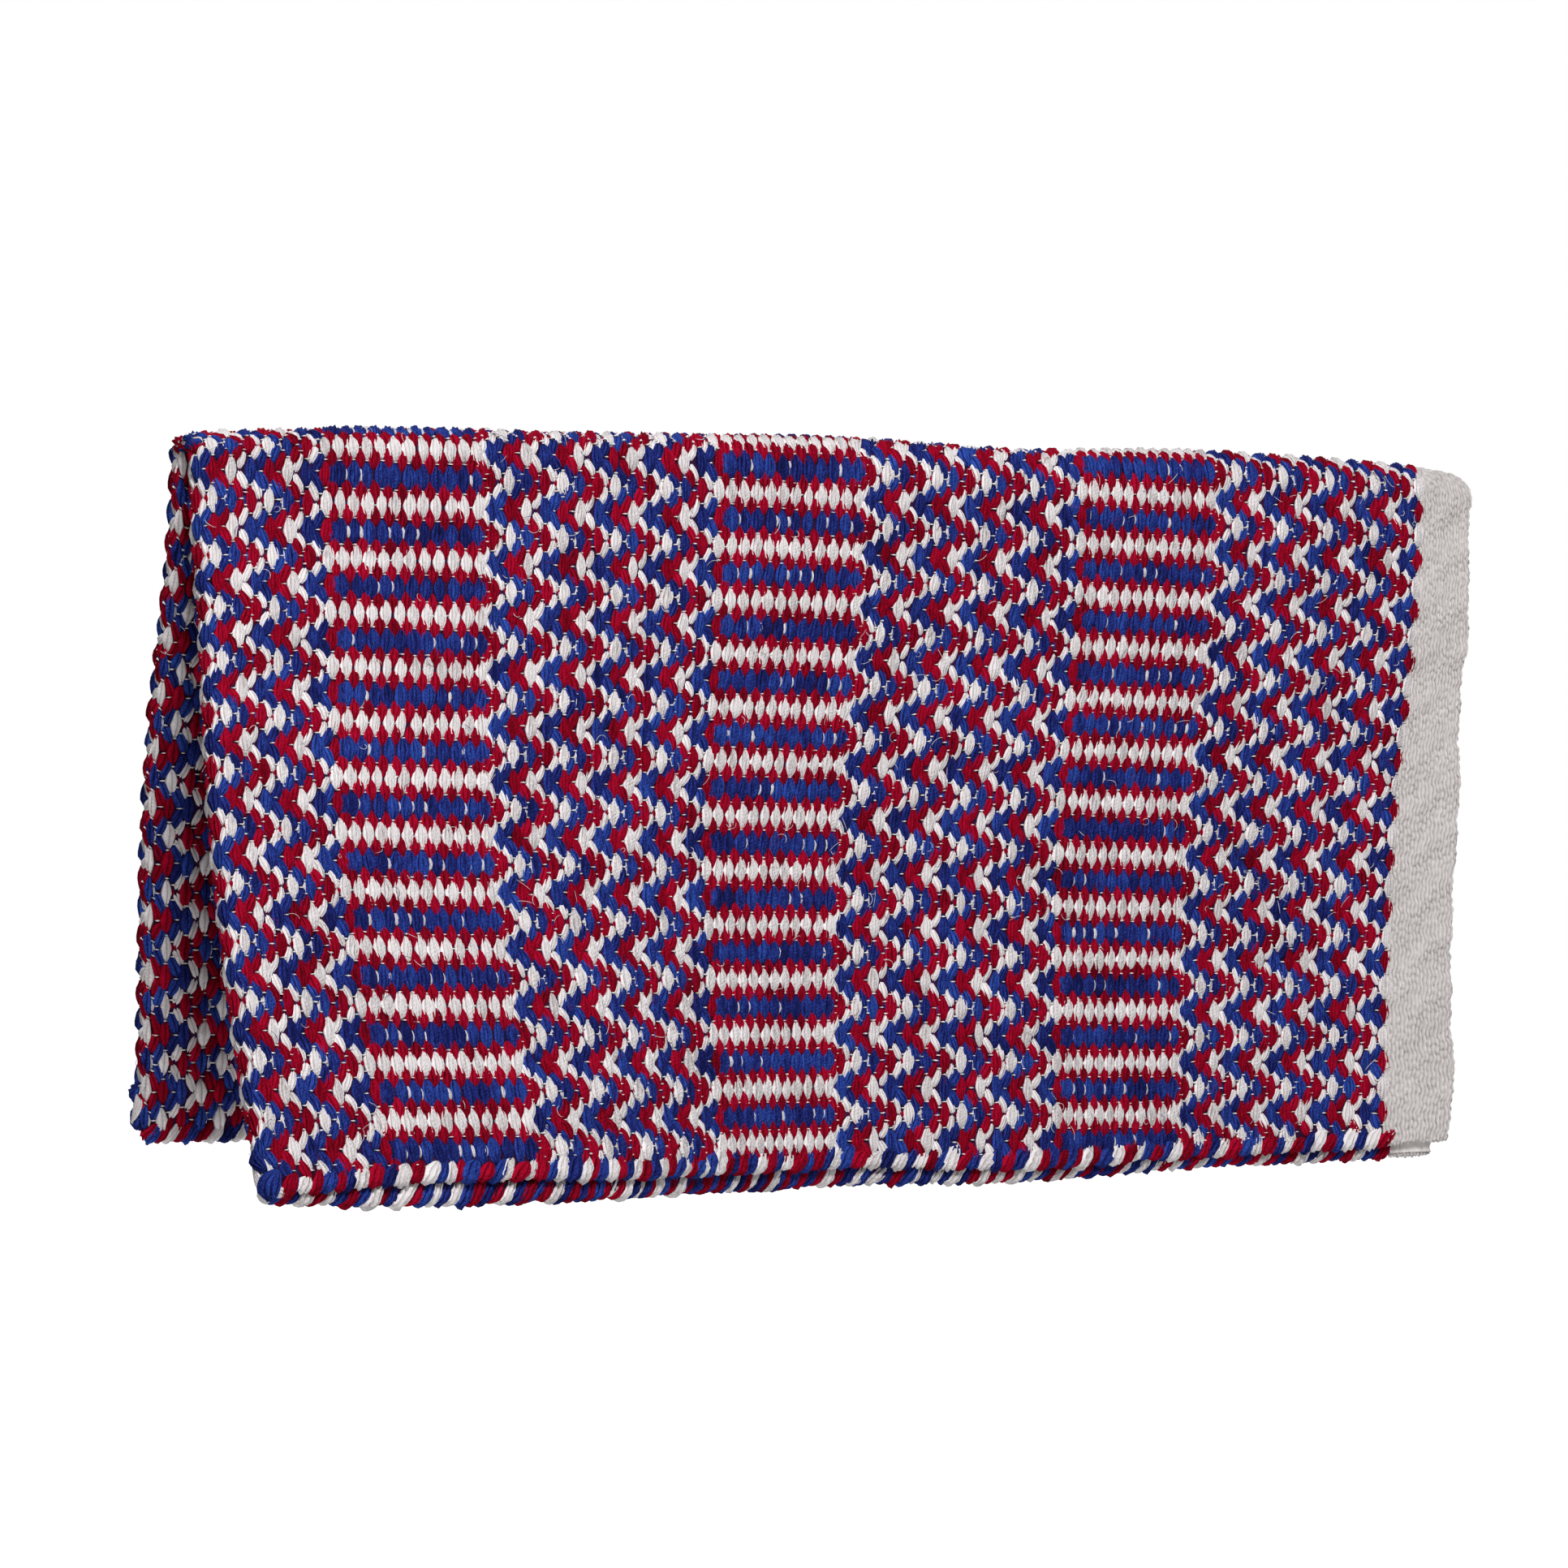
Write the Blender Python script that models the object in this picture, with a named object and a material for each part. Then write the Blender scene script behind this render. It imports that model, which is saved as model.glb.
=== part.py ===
# Saddle blanket: one thick double-weave cloth with a white header at each end.
# It is folded in half at its middle and hung over a narrow rail.
# X runs along the rail, from the turned fold to the two headers, and Z is up.
# The near flap hangs on the -Y side and the far flap on the +Y side.
# The origin is the middle of the flat strip that rests on the rail.

import math

import bmesh
import bpy
import numpy as np

# Driving dimensions, in metres
FOLDED_LENGTH = 0.811       # along the rail: half of the flat length of 64 inches
PLY = 0.0065                # one woven ply
PLY_GAP = 0.0003            # between the two plies
PIECE_GAP = 0.0003          # between neighbouring pieces of one ply
RAIL_THICKNESS = 0.011      # the narrow rail that the cloth hangs on
SEAT_RADIUS = 0.0015        # inside of the bend at each edge of the rail
HEADER_WIDTH = 0.036        # white band at each end of the cloth
HEADER_SETBACK = 0.012      # the inner header ends this far short of the outer one
HEADER_INSET = 0.020        # how far the headers draw back at the crest

# The near flap
NEAR_LENGTH = 0.386         # outer ply, from the shoulder down to its hem
NEAR_DROP = 0.009           # how far the inner ply shows below the outer one
NEAR_FLARE = 0.115          # how far the hem stands out from plumb at the turned fold
NEAR_BELLY = 0.0115         # outward belly of the turned fold, half-way down
NEAR_DRIFT = -0.016         # sideways lean of the flap below its middle
NEAR_RETURN = 0.0075        # how much of that lean comes back at the hem

# The far flap
FAR_LENGTH = 0.350
FAR_DROP = 0.009
FAR_FLARE = 0.052
FAR_BELLY = 0.012
FAR_DRIFT = -0.001
FAR_RETURN = 0.001

# How the hems vary along the rail, read at shares of the folded length
HEM_SHARES = (0.0, 0.12, 0.25, 0.38, 0.50, 0.63, 0.76, 0.90, 1.0)
NEAR_LENGTH_SHARES = (1.01, 1.0, 1.0, 0.99, 0.992, 1.003, 1.0, 0.998, 0.99)
NEAR_DROP_SHARES = (0.45, 1.2, 1.0, 1.0, 1.0, 0.67, 0.67, 0.67, 0.9)
NEAR_FLARE_SHARES = (1.0, 0.89, 0.75, 0.38, 0.10, 0.19, 0.035, 0.035, 0.26)
FAR_LENGTH_SHARES = (1.01, 1.008, 1.005, 1.003, 1.0, 1.0, 0.997, 0.994, 0.99)
FAR_DROP_SHARES = (1.1, 1.1, 1.1, 1.0, 1.0, 1.0, 1.0, 0.9, 0.9)
FAR_FLARE_SHARES = (1.0, 0.9, 0.79, 0.67, 0.58, 0.5, 0.48, 0.54, 0.65)

# Shape shares
BEND_SHARE = 0.15           # of the flap, over which it turns from plumb to its flare
BELLY_SHARE = 0.30          # of the folded length, over which the belly dies away
DRIFT_SHARE = 0.60          # of the flap, over which it leans sideways

# How finely the cloth is faceted
PLY_STEPS = 22
HEADER_STEPS = 2
DROP_STEPS = 11
BEND_STEPS = 5
BEAD_SIDES = 12
FIELD_STEP = 0.004          # grid of the drape that every piece is read from

# Sizes that follow
STACK = 2 * PLY + PLY_GAP
SEAT_HALF = RAIL_THICKNESS / 2 - SEAT_RADIUS
BEND_RADIUS = SEAT_RADIUS + STACK
SHOULDER_Y = SEAT_HALF + BEND_RADIUS
SHOULDER_Z = -SEAT_RADIUS
FOLD_LINE = STACK / 2 + PIECE_GAP
HEADER_LINE = FOLDED_LENGTH - HEADER_WIDTH
FIELD_MARGIN = 3 * STACK
INNER_PLY = (0.0, PLY)
OUTER_PLY = (PLY + PLY_GAP, STACK)

# Colours as linear values: the three wefts mixed, and the plain white weft
WOVEN_OUTER = (0.30, 0.13, 0.24)
WOVEN_INNER = (0.22, 0.09, 0.18)
SELVEDGE_MIX = (0.34, 0.10, 0.20)
HEADER_WHITE = (0.66, 0.63, 0.60)


def through(shares, values, at):
    """A smooth curve through the values, read at the given shares."""
    stops = np.array(shares)
    heights = np.array(values)
    slopes = np.gradient(heights, stops)
    at = np.clip(at, stops[0], stops[-1])
    i = np.clip(np.searchsorted(stops, at) - 1, 0, len(stops) - 2)
    step = stops[i + 1] - stops[i]
    k = (at - stops[i]) / step
    rise = (1 + 2 * k) * (1 - k) ** 2 * heights[i] + k ** 2 * (3 - 2 * k) * heights[i + 1]
    lean = k * (1 - k) ** 2 * slopes[i] + k ** 2 * (k - 1) * slopes[i + 1]
    return rise + step * lean


def bend_then_straight(share):
    """0 at the shoulder and 1 at the hem: a bend of BEND_SHARE, then a straight run."""
    bent = share ** 2 / (2 * BEND_SHARE)
    straight = share - BEND_SHARE / 2
    return np.where(share < BEND_SHARE, bent, straight) / (1 - BEND_SHARE / 2)


def running_sum(values, stops, axis):
    """The integral of the values along one axis of the grid, from its first row."""
    values = np.moveaxis(values, axis, 0)
    steps = 0.5 * (values[1:] + values[:-1]) * np.diff(stops)[:, None]
    total = np.concatenate([np.zeros((1, values.shape[1])), np.cumsum(steps, axis=0)])
    return np.moveaxis(total, 0, axis)


class Flap:
    """Where each point of one hanging flap lies, for cloth that bends but doesn't stretch."""

    def __init__(self, side, lengths, drops, flares, belly, drift, drift_return):
        self.side = side
        self.length, self.length_shares = lengths
        self.drop, self.drop_shares = drops
        flare, flare_shares = flares
        s = np.arange(-FIELD_MARGIN, FOLDED_LENGTH + FIELD_MARGIN, FIELD_STEP)
        t = np.arange(0.0, self.length + self.drop + FIELD_MARGIN, FIELD_STEP)
        self.s = s
        self.t = t
        share_s = s / FOLDED_LENGTH
        share_t = t / self.length
        hem = flare * through(HEM_SHARES, flare_shares, share_s)[:, None]
        hem = hem * bend_then_straight(share_t)[None, :]
        near_fold = np.clip(1 - np.maximum(share_s, 0) / BELLY_SHARE, 0, 1) ** 2
        round_belly = np.sin(math.pi * np.clip(share_t, 0, 1)) ** 2
        out = hem + belly * near_fold[:, None] * round_belly[None, :]
        lean = drift * np.sin(math.pi / 2 * np.clip(share_t / DRIFT_SHARE, 0, 1)) ** 2
        lean = lean + drift_return * np.clip((share_t - DRIFT_SHARE) / (1 - DRIFT_SHARE), 0, 1) ** 2
        out_t = np.gradient(out, t, axis=1)
        out_s = np.gradient(out, s, axis=0)
        lean_t = np.gradient(lean, t)
        fall = np.sqrt(np.maximum(1 - out_t ** 2 - lean_t[None, :] ** 2, 0))
        reach = np.sqrt(np.maximum(1 - out_s ** 2, 0))
        along = running_sum(reach, s, 0)
        start = np.array([np.interp(0.0, s, column) for column in along.T])
        x = along - start[None, :] - FOLDED_LENGTH / 2 + lean[None, :]
        y = side * (SHOULDER_Y + out)
        z = SHOULDER_Z - running_sum(fall, t, 1)
        self.face = np.stack([x, y, z], axis=-1)
        across = np.gradient(self.face, s, axis=0)
        down = np.gradient(self.face, t, axis=1)
        normal = np.cross(across, down)
        normal *= side * np.sign(normal[..., 1:2])
        normal /= np.linalg.norm(normal, axis=-1, keepdims=True)
        normal[:, 0] = (0, side, 0)
        self.normal = normal

    def place(self, s, station, u):
        """World place of a point: s along the rail, a station down the flap, u from the rail side."""
        length_share, drop_share, extra = station
        at = s / FOLDED_LENGTH
        t = length_share * self.length * float(through(HEM_SHARES, self.length_shares, at))
        t += drop_share * self.drop * float(through(HEM_SHARES, self.drop_shares, at)) + extra
        i = min(max(int((s - self.s[0]) / FIELD_STEP), 0), len(self.s) - 2)
        j = min(max(int(t / FIELD_STEP), 0), len(self.t) - 2)
        a = (s - self.s[i]) / FIELD_STEP
        b = (t - self.t[j]) / FIELD_STEP
        weights = ((1 - a) * (1 - b), a * (1 - b), (1 - a) * b, a * b)
        cells = ((i, j), (i + 1, j), (i, j + 1), (i + 1, j + 1))
        face = sum(w * self.face[c] for w, c in zip(weights, cells))
        normal = sum(w * self.normal[c] for w, c in zip(weights, cells))
        normal = normal / np.linalg.norm(normal)
        return face - normal * (STACK - u)


def place_on_crown(s, station, u):
    """World place of a point of the crown: station is its outer arc length from the crest."""
    arc = abs(station)
    side = math.copysign(1, station)
    angle = max(arc - SEAT_HALF, 0) / BEND_RADIUS
    y = side * (min(arc, SEAT_HALF) + (SEAT_RADIUS + u) * math.sin(angle))
    z = SHOULDER_Z + (SEAT_RADIUS + u) * math.cos(angle)
    into_header = max(s - HEADER_LINE - PIECE_GAP, 0) / HEADER_WIDTH
    x = s - FOLDED_LENGTH / 2 - HEADER_INSET * into_header * (1 - math.sin(angle))
    return np.array((x, y, z))


def steps_between(start, end, count):
    """Evenly spaced stops from start to end, both included."""
    return [start + (end - start) * k / count for k in range(count + 1)]


def crown_stations():
    """Arc stops over the crown, from the near shoulder to the far one."""
    shoulder = SEAT_HALF + BEND_RADIUS * math.pi / 2
    bend = steps_between(SEAT_HALF, shoulder, BEND_STEPS)
    return [-arc for arc in reversed(bend)] + bend


def flap_stations(hangs_below, extra=0.0):
    """Stops down a flap: a share of its length, a share of the inner ply's drop, an extra length."""
    stations = [(k / DROP_STEPS, 0, 0.0) for k in range(1, DROP_STEPS + 1)]
    if hangs_below:
        stations.append((1, 1, extra))
    elif extra:
        stations.append((1, 0, extra))
    return [(0, 0, PIECE_GAP)] + stations


def split_quads(bm):
    """Cut every four-sided face from its lowest to its highest corner, alike on facing pieces."""
    for face in list(bm.faces):
        if len(face.verts) == 4:
            corners = sorted(face.verts, key=lambda v: v.co.x + v.co.y + v.co.z)
            low = corners[0]
            loop = next(l for l in face.loops if l.vert is low)
            bmesh.utils.face_split(face, low, loop.link_loop_next.link_loop_next.vert)


def slice_along(bm, axis, count):
    """Cut the solid at every whole number along one axis, from 1 to count - 1."""
    normal = [0, 0, 0]
    normal[axis] = 1
    for k in range(1, count):
        point = [k * n for n in normal]
        geometry = bm.verts[:] + bm.edges[:] + bm.faces[:]
        bmesh.ops.bisect_plane(bm, geom=geometry, plane_co=point, plane_no=normal)


def ply_block(s_stops, stations, depths, place):
    """A flat piece of ply: a box cut at every stop and bent to the drape."""
    bm = bmesh.new()
    bmesh.ops.create_cube(bm, size=1)
    counts = (len(s_stops) - 1, len(stations) - 1, 1)
    for vert in bm.verts:
        vert.co = [(c + 0.5) * n for c, n in zip(vert.co, counts)]
    slice_along(bm, 0, counts[0])
    slice_along(bm, 1, counts[1])
    split_quads(bm)
    for vert in bm.verts:
        i, j, k = (round(c) for c in vert.co)
        vert.co = place(s_stops[i], stations[j], depths[k])
    return bm


def half_round(count):
    """A half-round bar along X, count long: its flat side at Y 0 and its round towards +Y."""
    bm = bmesh.new()
    bmesh.ops.create_cone(bm, cap_ends=True, segments=BEAD_SIDES, radius1=1, radius2=1, depth=count)
    for vert in bm.verts:
        vert.co = (vert.co.z + count / 2, vert.co.x, vert.co.y)
    geometry = bm.verts[:] + bm.edges[:] + bm.faces[:]
    bmesh.ops.bisect_plane(bm, geom=geometry, plane_co=(0, 0, 0), plane_no=(0, -1, 0), clear_outer=True)
    open_edges = [edge for edge in bm.edges if edge.is_boundary]
    bmesh.ops.holes_fill(bm, edges=open_edges)
    slice_along(bm, 0, count)
    split_quads(bm)
    return bm


def turned_fold(stations, place):
    """The half-round edge where the outer ply turns into the inner one."""
    bm = half_round(len(stations) - 1)
    radius = STACK / 2
    for vert in bm.verts:
        j, out, depth = round(vert.co.x), vert.co.y, vert.co.z
        vert.co = place(radius * (1 - out), stations[j], radius * (1 + depth))
    return bm


def selvedge(s_stops, hangs_below, depths, place):
    """The half-round bottom edge of one ply, where the wefts turn back."""
    bm = half_round(len(s_stops) - 1)
    radius = (depths[1] - depths[0]) / 2
    for vert in bm.verts:
        i, out, depth = round(vert.co.x), vert.co.y, vert.co.z
        below = (1, hangs_below, PIECE_GAP + radius * out)
        vert.co = place(s_stops[i], below, depths[0] + radius * (1 + depth))
    return bm


def cloth_material(name, colour):
    material = bpy.data.materials.new(name)
    material.use_nodes = True
    shader = material.node_tree.nodes["Principled BSDF"]
    shader.inputs["Base Color"].default_value = (*colour, 1)
    shader.inputs["Roughness"].default_value = 0.92
    shader.inputs["Metallic"].default_value = 0
    return material


def add_piece(name, bm, colour, hinge, collection):
    """Turn a bent solid into a named object that hangs on its hinge."""
    bmesh.ops.recalc_face_normals(bm, faces=bm.faces)
    if bm.calc_volume(signed=True) < 0:
        bmesh.ops.reverse_faces(bm, faces=bm.faces)
    bmesh.ops.translate(bm, verts=bm.verts, vec=-hinge.location)
    mesh = bpy.data.meshes.new(name)
    bm.to_mesh(mesh)
    bm.free()
    mesh.materials.append(cloth_material(name + "_cloth", colour))
    mesh.shade_smooth()
    mesh.set_sharp_from_angle(angle=math.radians(40))
    piece = bpy.data.objects.new(name, mesh)
    piece.parent = hinge
    collection.objects.link(piece)


def add_hinge(name, place, collection):
    hinge = bpy.data.objects.new(name, None)
    hinge.location = place
    hinge.empty_display_size = RAIL_THICKNESS
    collection.objects.link(hinge)
    return hinge


def build_crown(collection):
    """The top of the blanket: both plies bent over the rail, their fold and their headers."""
    seat = add_hinge("rail_line", (0, 0, 0), collection)
    stations = crown_stations()
    for ply, depths, setback, colour in (
        ("outer", OUTER_PLY, 0.0, WOVEN_OUTER),
        ("inner", INNER_PLY, HEADER_SETBACK, WOVEN_INNER),
    ):
        cloth = steps_between(FOLD_LINE, HEADER_LINE, PLY_STEPS)
        band = steps_between(HEADER_LINE + PIECE_GAP, FOLDED_LENGTH - setback, HEADER_STEPS)
        add_piece(f"crown_{ply}_ply", ply_block(cloth, stations, depths, place_on_crown),
                  colour, seat, collection)
        add_piece(f"crown_{ply}_header", ply_block(band, stations, depths, place_on_crown),
                  HEADER_WHITE, seat, collection)
    add_piece("crown_turned_fold", turned_fold(stations, place_on_crown), WOVEN_OUTER, seat, collection)


def build_flap(word, flap, collection):
    """One hanging flap: two plies, their fold, headers and selvedges, on the shoulder hinge."""
    hinge = add_hinge(f"{word}_hinge", (0, flap.side * SHOULDER_Y, SHOULDER_Z), collection)
    for ply, depths, hangs_below, setback, colour in (
        ("outer", OUTER_PLY, 0, 0.0, WOVEN_OUTER),
        ("inner", INNER_PLY, 1, HEADER_SETBACK, WOVEN_INNER),
    ):
        cloth = steps_between(FOLD_LINE, HEADER_LINE, PLY_STEPS)
        band = steps_between(HEADER_LINE + PIECE_GAP, FOLDED_LENGTH - setback, HEADER_STEPS)
        ply_down = flap_stations(hangs_below)
        band_down = flap_stations(hangs_below, PLY / 2)
        add_piece(f"{word}_{ply}_ply", ply_block(cloth, ply_down, depths, flap.place),
                  colour, hinge, collection)
        add_piece(f"{word}_{ply}_header", ply_block(band, band_down, depths, flap.place),
                  HEADER_WHITE, hinge, collection)
        add_piece(f"{word}_{ply}_selvedge", selvedge(cloth, hangs_below, depths, flap.place),
                  SELVEDGE_MIX, hinge, collection)
    add_piece(f"{word}_turned_fold", turned_fold(flap_stations(0), flap.place),
              WOVEN_OUTER, hinge, collection)


def build():
    for old in list(bpy.data.objects):
        bpy.data.objects.remove(old, do_unlink=True)
    blanket = bpy.data.collections.new("saddle_blanket")
    bpy.context.scene.collection.children.link(blanket)
    near = Flap(-1, (NEAR_LENGTH, NEAR_LENGTH_SHARES), (NEAR_DROP, NEAR_DROP_SHARES),
                (NEAR_FLARE, NEAR_FLARE_SHARES), NEAR_BELLY, NEAR_DRIFT, NEAR_RETURN)
    far = Flap(1, (FAR_LENGTH, FAR_LENGTH_SHARES), (FAR_DROP, FAR_DROP_SHARES),
               (FAR_FLARE, FAR_FLARE_SHARES), FAR_BELLY, FAR_DRIFT, FAR_RETURN)
    build_crown(blanket)
    build_flap("near", near, blanket)
    build_flap("far", far, blanket)


build()
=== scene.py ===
import math

import bmesh
import bpy
import numpy as np
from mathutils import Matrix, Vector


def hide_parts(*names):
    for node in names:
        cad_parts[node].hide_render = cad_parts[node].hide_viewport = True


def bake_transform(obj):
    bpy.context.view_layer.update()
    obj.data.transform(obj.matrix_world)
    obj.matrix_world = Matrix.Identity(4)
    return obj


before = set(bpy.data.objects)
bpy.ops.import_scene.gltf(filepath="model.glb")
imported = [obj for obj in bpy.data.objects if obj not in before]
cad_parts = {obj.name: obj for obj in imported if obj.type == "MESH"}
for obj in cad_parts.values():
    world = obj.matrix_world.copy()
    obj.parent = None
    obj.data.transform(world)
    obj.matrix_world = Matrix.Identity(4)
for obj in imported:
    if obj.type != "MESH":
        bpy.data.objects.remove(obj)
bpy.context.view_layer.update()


# The ground of the cloth: the imported inside of one thick double weave of cotton, coloured near
# black as painted shade in the crevices between the floats.
# The cloth is folded in half at the left and hung over a narrow rail, and hang() takes places
# on the flat cloth to where they hang. The cloth is cut at the crest into one half for each flap.

FOLDED_LENGTH = 0.811
PLY = 0.0065
STACK = 0.0133
SEAT_HALF = 0.004
SEAT_RADIUS = 0.0015
BEND_RADIUS = 0.0148
SHOULDER_Y = 0.0188
SHOULDER_Z = -0.0015
FOLD_RADIUS = STACK / 2
FOLD_ARC = math.pi * FOLD_RADIUS
HEM_RADIUS = PLY / 2
HEM_ARC = math.pi * HEM_RADIUS
CREST_ARC = SEAT_HALF + BEND_RADIUS * math.pi / 2
HEADER_WIDTH = 0.036
HEADER_INSET = 0.020
HEADER_LINE = FOLDED_LENGTH - HEADER_WIDTH
OUTER_END = HEADER_LINE - FOLD_RADIUS
INNER_END = -(FOLD_ARC + HEADER_LINE - FOLD_RADIUS)
CREST_RISES = (-0.0052, 0.0008, 0.0023, 0.0045, 0.0056, 0.0028, 0.0058, 0.0040, 0.0005)
BEND_SHARE = 0.15
BELLY_SHARE = 0.30
DRIFT_SHARE = 0.60
FIELD_STEP = 0.004
FIELD_MARGIN = 0.040
FIELD_END = 1.001
RISE_INSIDE = 0.3
HEM_SHARES = (0.0, 0.12, 0.25, 0.38, 0.50, 0.63, 0.76, 0.90, 1.0)
GROUND_DEPTH = 0.0023
GROUND_BACK = 0.0062
GROUND_STEP = 0.009
CLOTH_MAP = (180, 60)


def through(shares, values, at):
    """A smooth curve through the values, read at the given shares."""
    stops = np.array(shares)
    heights = np.array(values)
    slopes = np.gradient(heights, stops)
    at = np.clip(at, stops[0], stops[-1])
    i = np.clip(np.searchsorted(stops, at) - 1, 0, len(stops) - 2)
    step = stops[i + 1] - stops[i]
    k = (at - stops[i]) / step
    rise = (1 + 2 * k) * (1 - k) ** 2 * heights[i] + k ** 2 * (3 - 2 * k) * heights[i + 1]
    lean = k * (1 - k) ** 2 * slopes[i] + k ** 2 * (k - 1) * slopes[i + 1]
    return rise + step * lean


def running_sum(values, stops, axis):
    """The area under the values from the first stop on."""
    values = np.moveaxis(values, axis, 0)
    steps = 0.5 * (values[1:] + values[:-1]) * np.diff(stops)[:, None]
    total = np.concatenate([np.zeros((1, values.shape[1])), np.cumsum(steps, axis=0)])
    return np.moveaxis(total, 0, axis)


def drape_flap(side, length, flares, belly, drift, drift_return):
    """The outer face of one flap and its normal, on a grid of the cloth."""
    s = np.arange(-FIELD_MARGIN, FOLDED_LENGTH + FIELD_MARGIN, FIELD_STEP)
    t = np.arange(0.0, length + 2 * FIELD_MARGIN, FIELD_STEP)
    share_s = s / FOLDED_LENGTH
    share_t = t / length
    bent = share_t - BEND_SHARE / 2
    bent = np.where(share_t < BEND_SHARE, share_t ** 2 / (2 * BEND_SHARE), bent)
    out = through(HEM_SHARES, flares, share_s)[:, None] * (bent / (1 - BEND_SHARE / 2))[None, :]
    near_fold = np.clip(1 - np.maximum(share_s, 0) / BELLY_SHARE, 0, 1) ** 2
    halfway = np.sin(math.pi * np.clip(share_t, 0, 1)) ** 2
    out = out + belly * near_fold[:, None] * halfway[None, :]
    lean = drift * np.sin(math.pi / 2 * np.clip(share_t / DRIFT_SHARE, 0, 1)) ** 2
    lean = lean + drift_return * np.clip((share_t - DRIFT_SHARE) / (1 - DRIFT_SHARE), 0, 1) ** 2
    out_t = np.gradient(out, t, axis=1)
    out_s = np.gradient(out, s, axis=0)
    lean_t = np.gradient(lean, t)
    fall = np.sqrt(np.maximum(1 - out_t ** 2 - lean_t[None, :] ** 2, 0))
    along = running_sum(np.sqrt(np.maximum(1 - out_s ** 2, 0)), s, 0)
    start = np.array([np.interp(0.0, s, column) for column in along.T])
    x = along - start[None, :] - FOLDED_LENGTH / 2 + lean[None, :]
    y = side * (SHOULDER_Y + out)
    z = SHOULDER_Z - running_sum(fall, t, 1)
    face = np.stack([x, y, z], axis=-1)
    normal = np.cross(np.gradient(face, s, axis=0), np.gradient(face, t, axis=1))
    normal *= side * np.sign(normal[..., 1:2])
    normal /= np.linalg.norm(normal, axis=-1, keepdims=True)
    normal[:, 0] = (0, side, 0)
    return face, normal


NEAR_LENGTH = 0.386
NEAR_FLARE = 0.115
NEAR_FLARES = NEAR_FLARE * np.array((1.0, 0.89, 0.75, 0.38, 0.10, 0.19, 0.035, 0.035, 0.26))
FAR_LENGTH = 0.350
FAR_FLARE = 0.052
FAR_FLARES = FAR_FLARE * np.array((1.0, 0.9, 0.79, 0.67, 0.58, 0.5, 0.48, 0.54, 0.65))
HEM_DROP = 0.009
NEAR = {
    "drape": drape_flap(
        side=-1, length=NEAR_LENGTH, flares=NEAR_FLARES, belly=0.0115,
        drift=-0.016, drift_return=0.0075,
    ),
    "length": NEAR_LENGTH,
    "lengths": (1.019, 1.002, 1.0, 0.99, 0.992, 1.003, 1.0, 0.998, 0.99),
    "drops": (0.15, 1.1, 1.0, 1.0, 1.0, 0.67, 0.67, 0.67, 0.9),
}
FAR = {
    "drape": drape_flap(
        side=1, length=FAR_LENGTH, flares=FAR_FLARES, belly=0.012,
        drift=-0.001, drift_return=0.001,
    ),
    "length": FAR_LENGTH,
    "lengths": (1.01, 1.008, 1.005, 1.003, 1.0, 1.0, 0.997, 0.994, 0.99),
    "drops": (1.1, 1.1, 1.1, 1.0, 1.0, 1.0, 1.0, 0.9, 0.9),
}


def from_the_fold(along):
    """How far from the turned fold a place lies, on either ply."""
    return FOLD_RADIUS + np.maximum(along, 0) + np.maximum(-along - FOLD_ARC, 0)


def near_hem(along):
    """How far across the flat cloth the near hem lies."""
    share = from_the_fold(along) / FOLDED_LENGTH
    return NEAR["length"] * through(HEM_SHARES, NEAR["lengths"], share)


def far_hem(along):
    """How far across the flat cloth the far hem lies, past the crest."""
    share = from_the_fold(along) / FOLDED_LENGTH
    return -2 * CREST_ARC - FAR["length"] * through(HEM_SHARES, FAR["lengths"], share)


def hang_on_flap(flap, s, t, u):
    """World places on a flap, with u measured from the rail side of the doubled cloth."""
    face, normal = flap["drape"]
    a = np.clip((s + FIELD_MARGIN) / FIELD_STEP, 0, face.shape[0] - FIELD_END)
    b = np.clip(t / FIELD_STEP, 0, face.shape[1] - FIELD_END)
    i, j = a.astype(int), b.astype(int)
    a, b = (a - i)[:, None], (b - j)[:, None]

    def read(grid):
        top = grid[i, j] * (1 - a) + grid[i + 1, j] * a
        low = grid[i, j + 1] * (1 - a) + grid[i + 1, j + 1] * a
        return top * (1 - b) + low * b

    out = read(normal)
    out /= np.linalg.norm(out, axis=1, keepdims=True)
    return read(face) - out * (STACK - u)[:, None]


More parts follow.
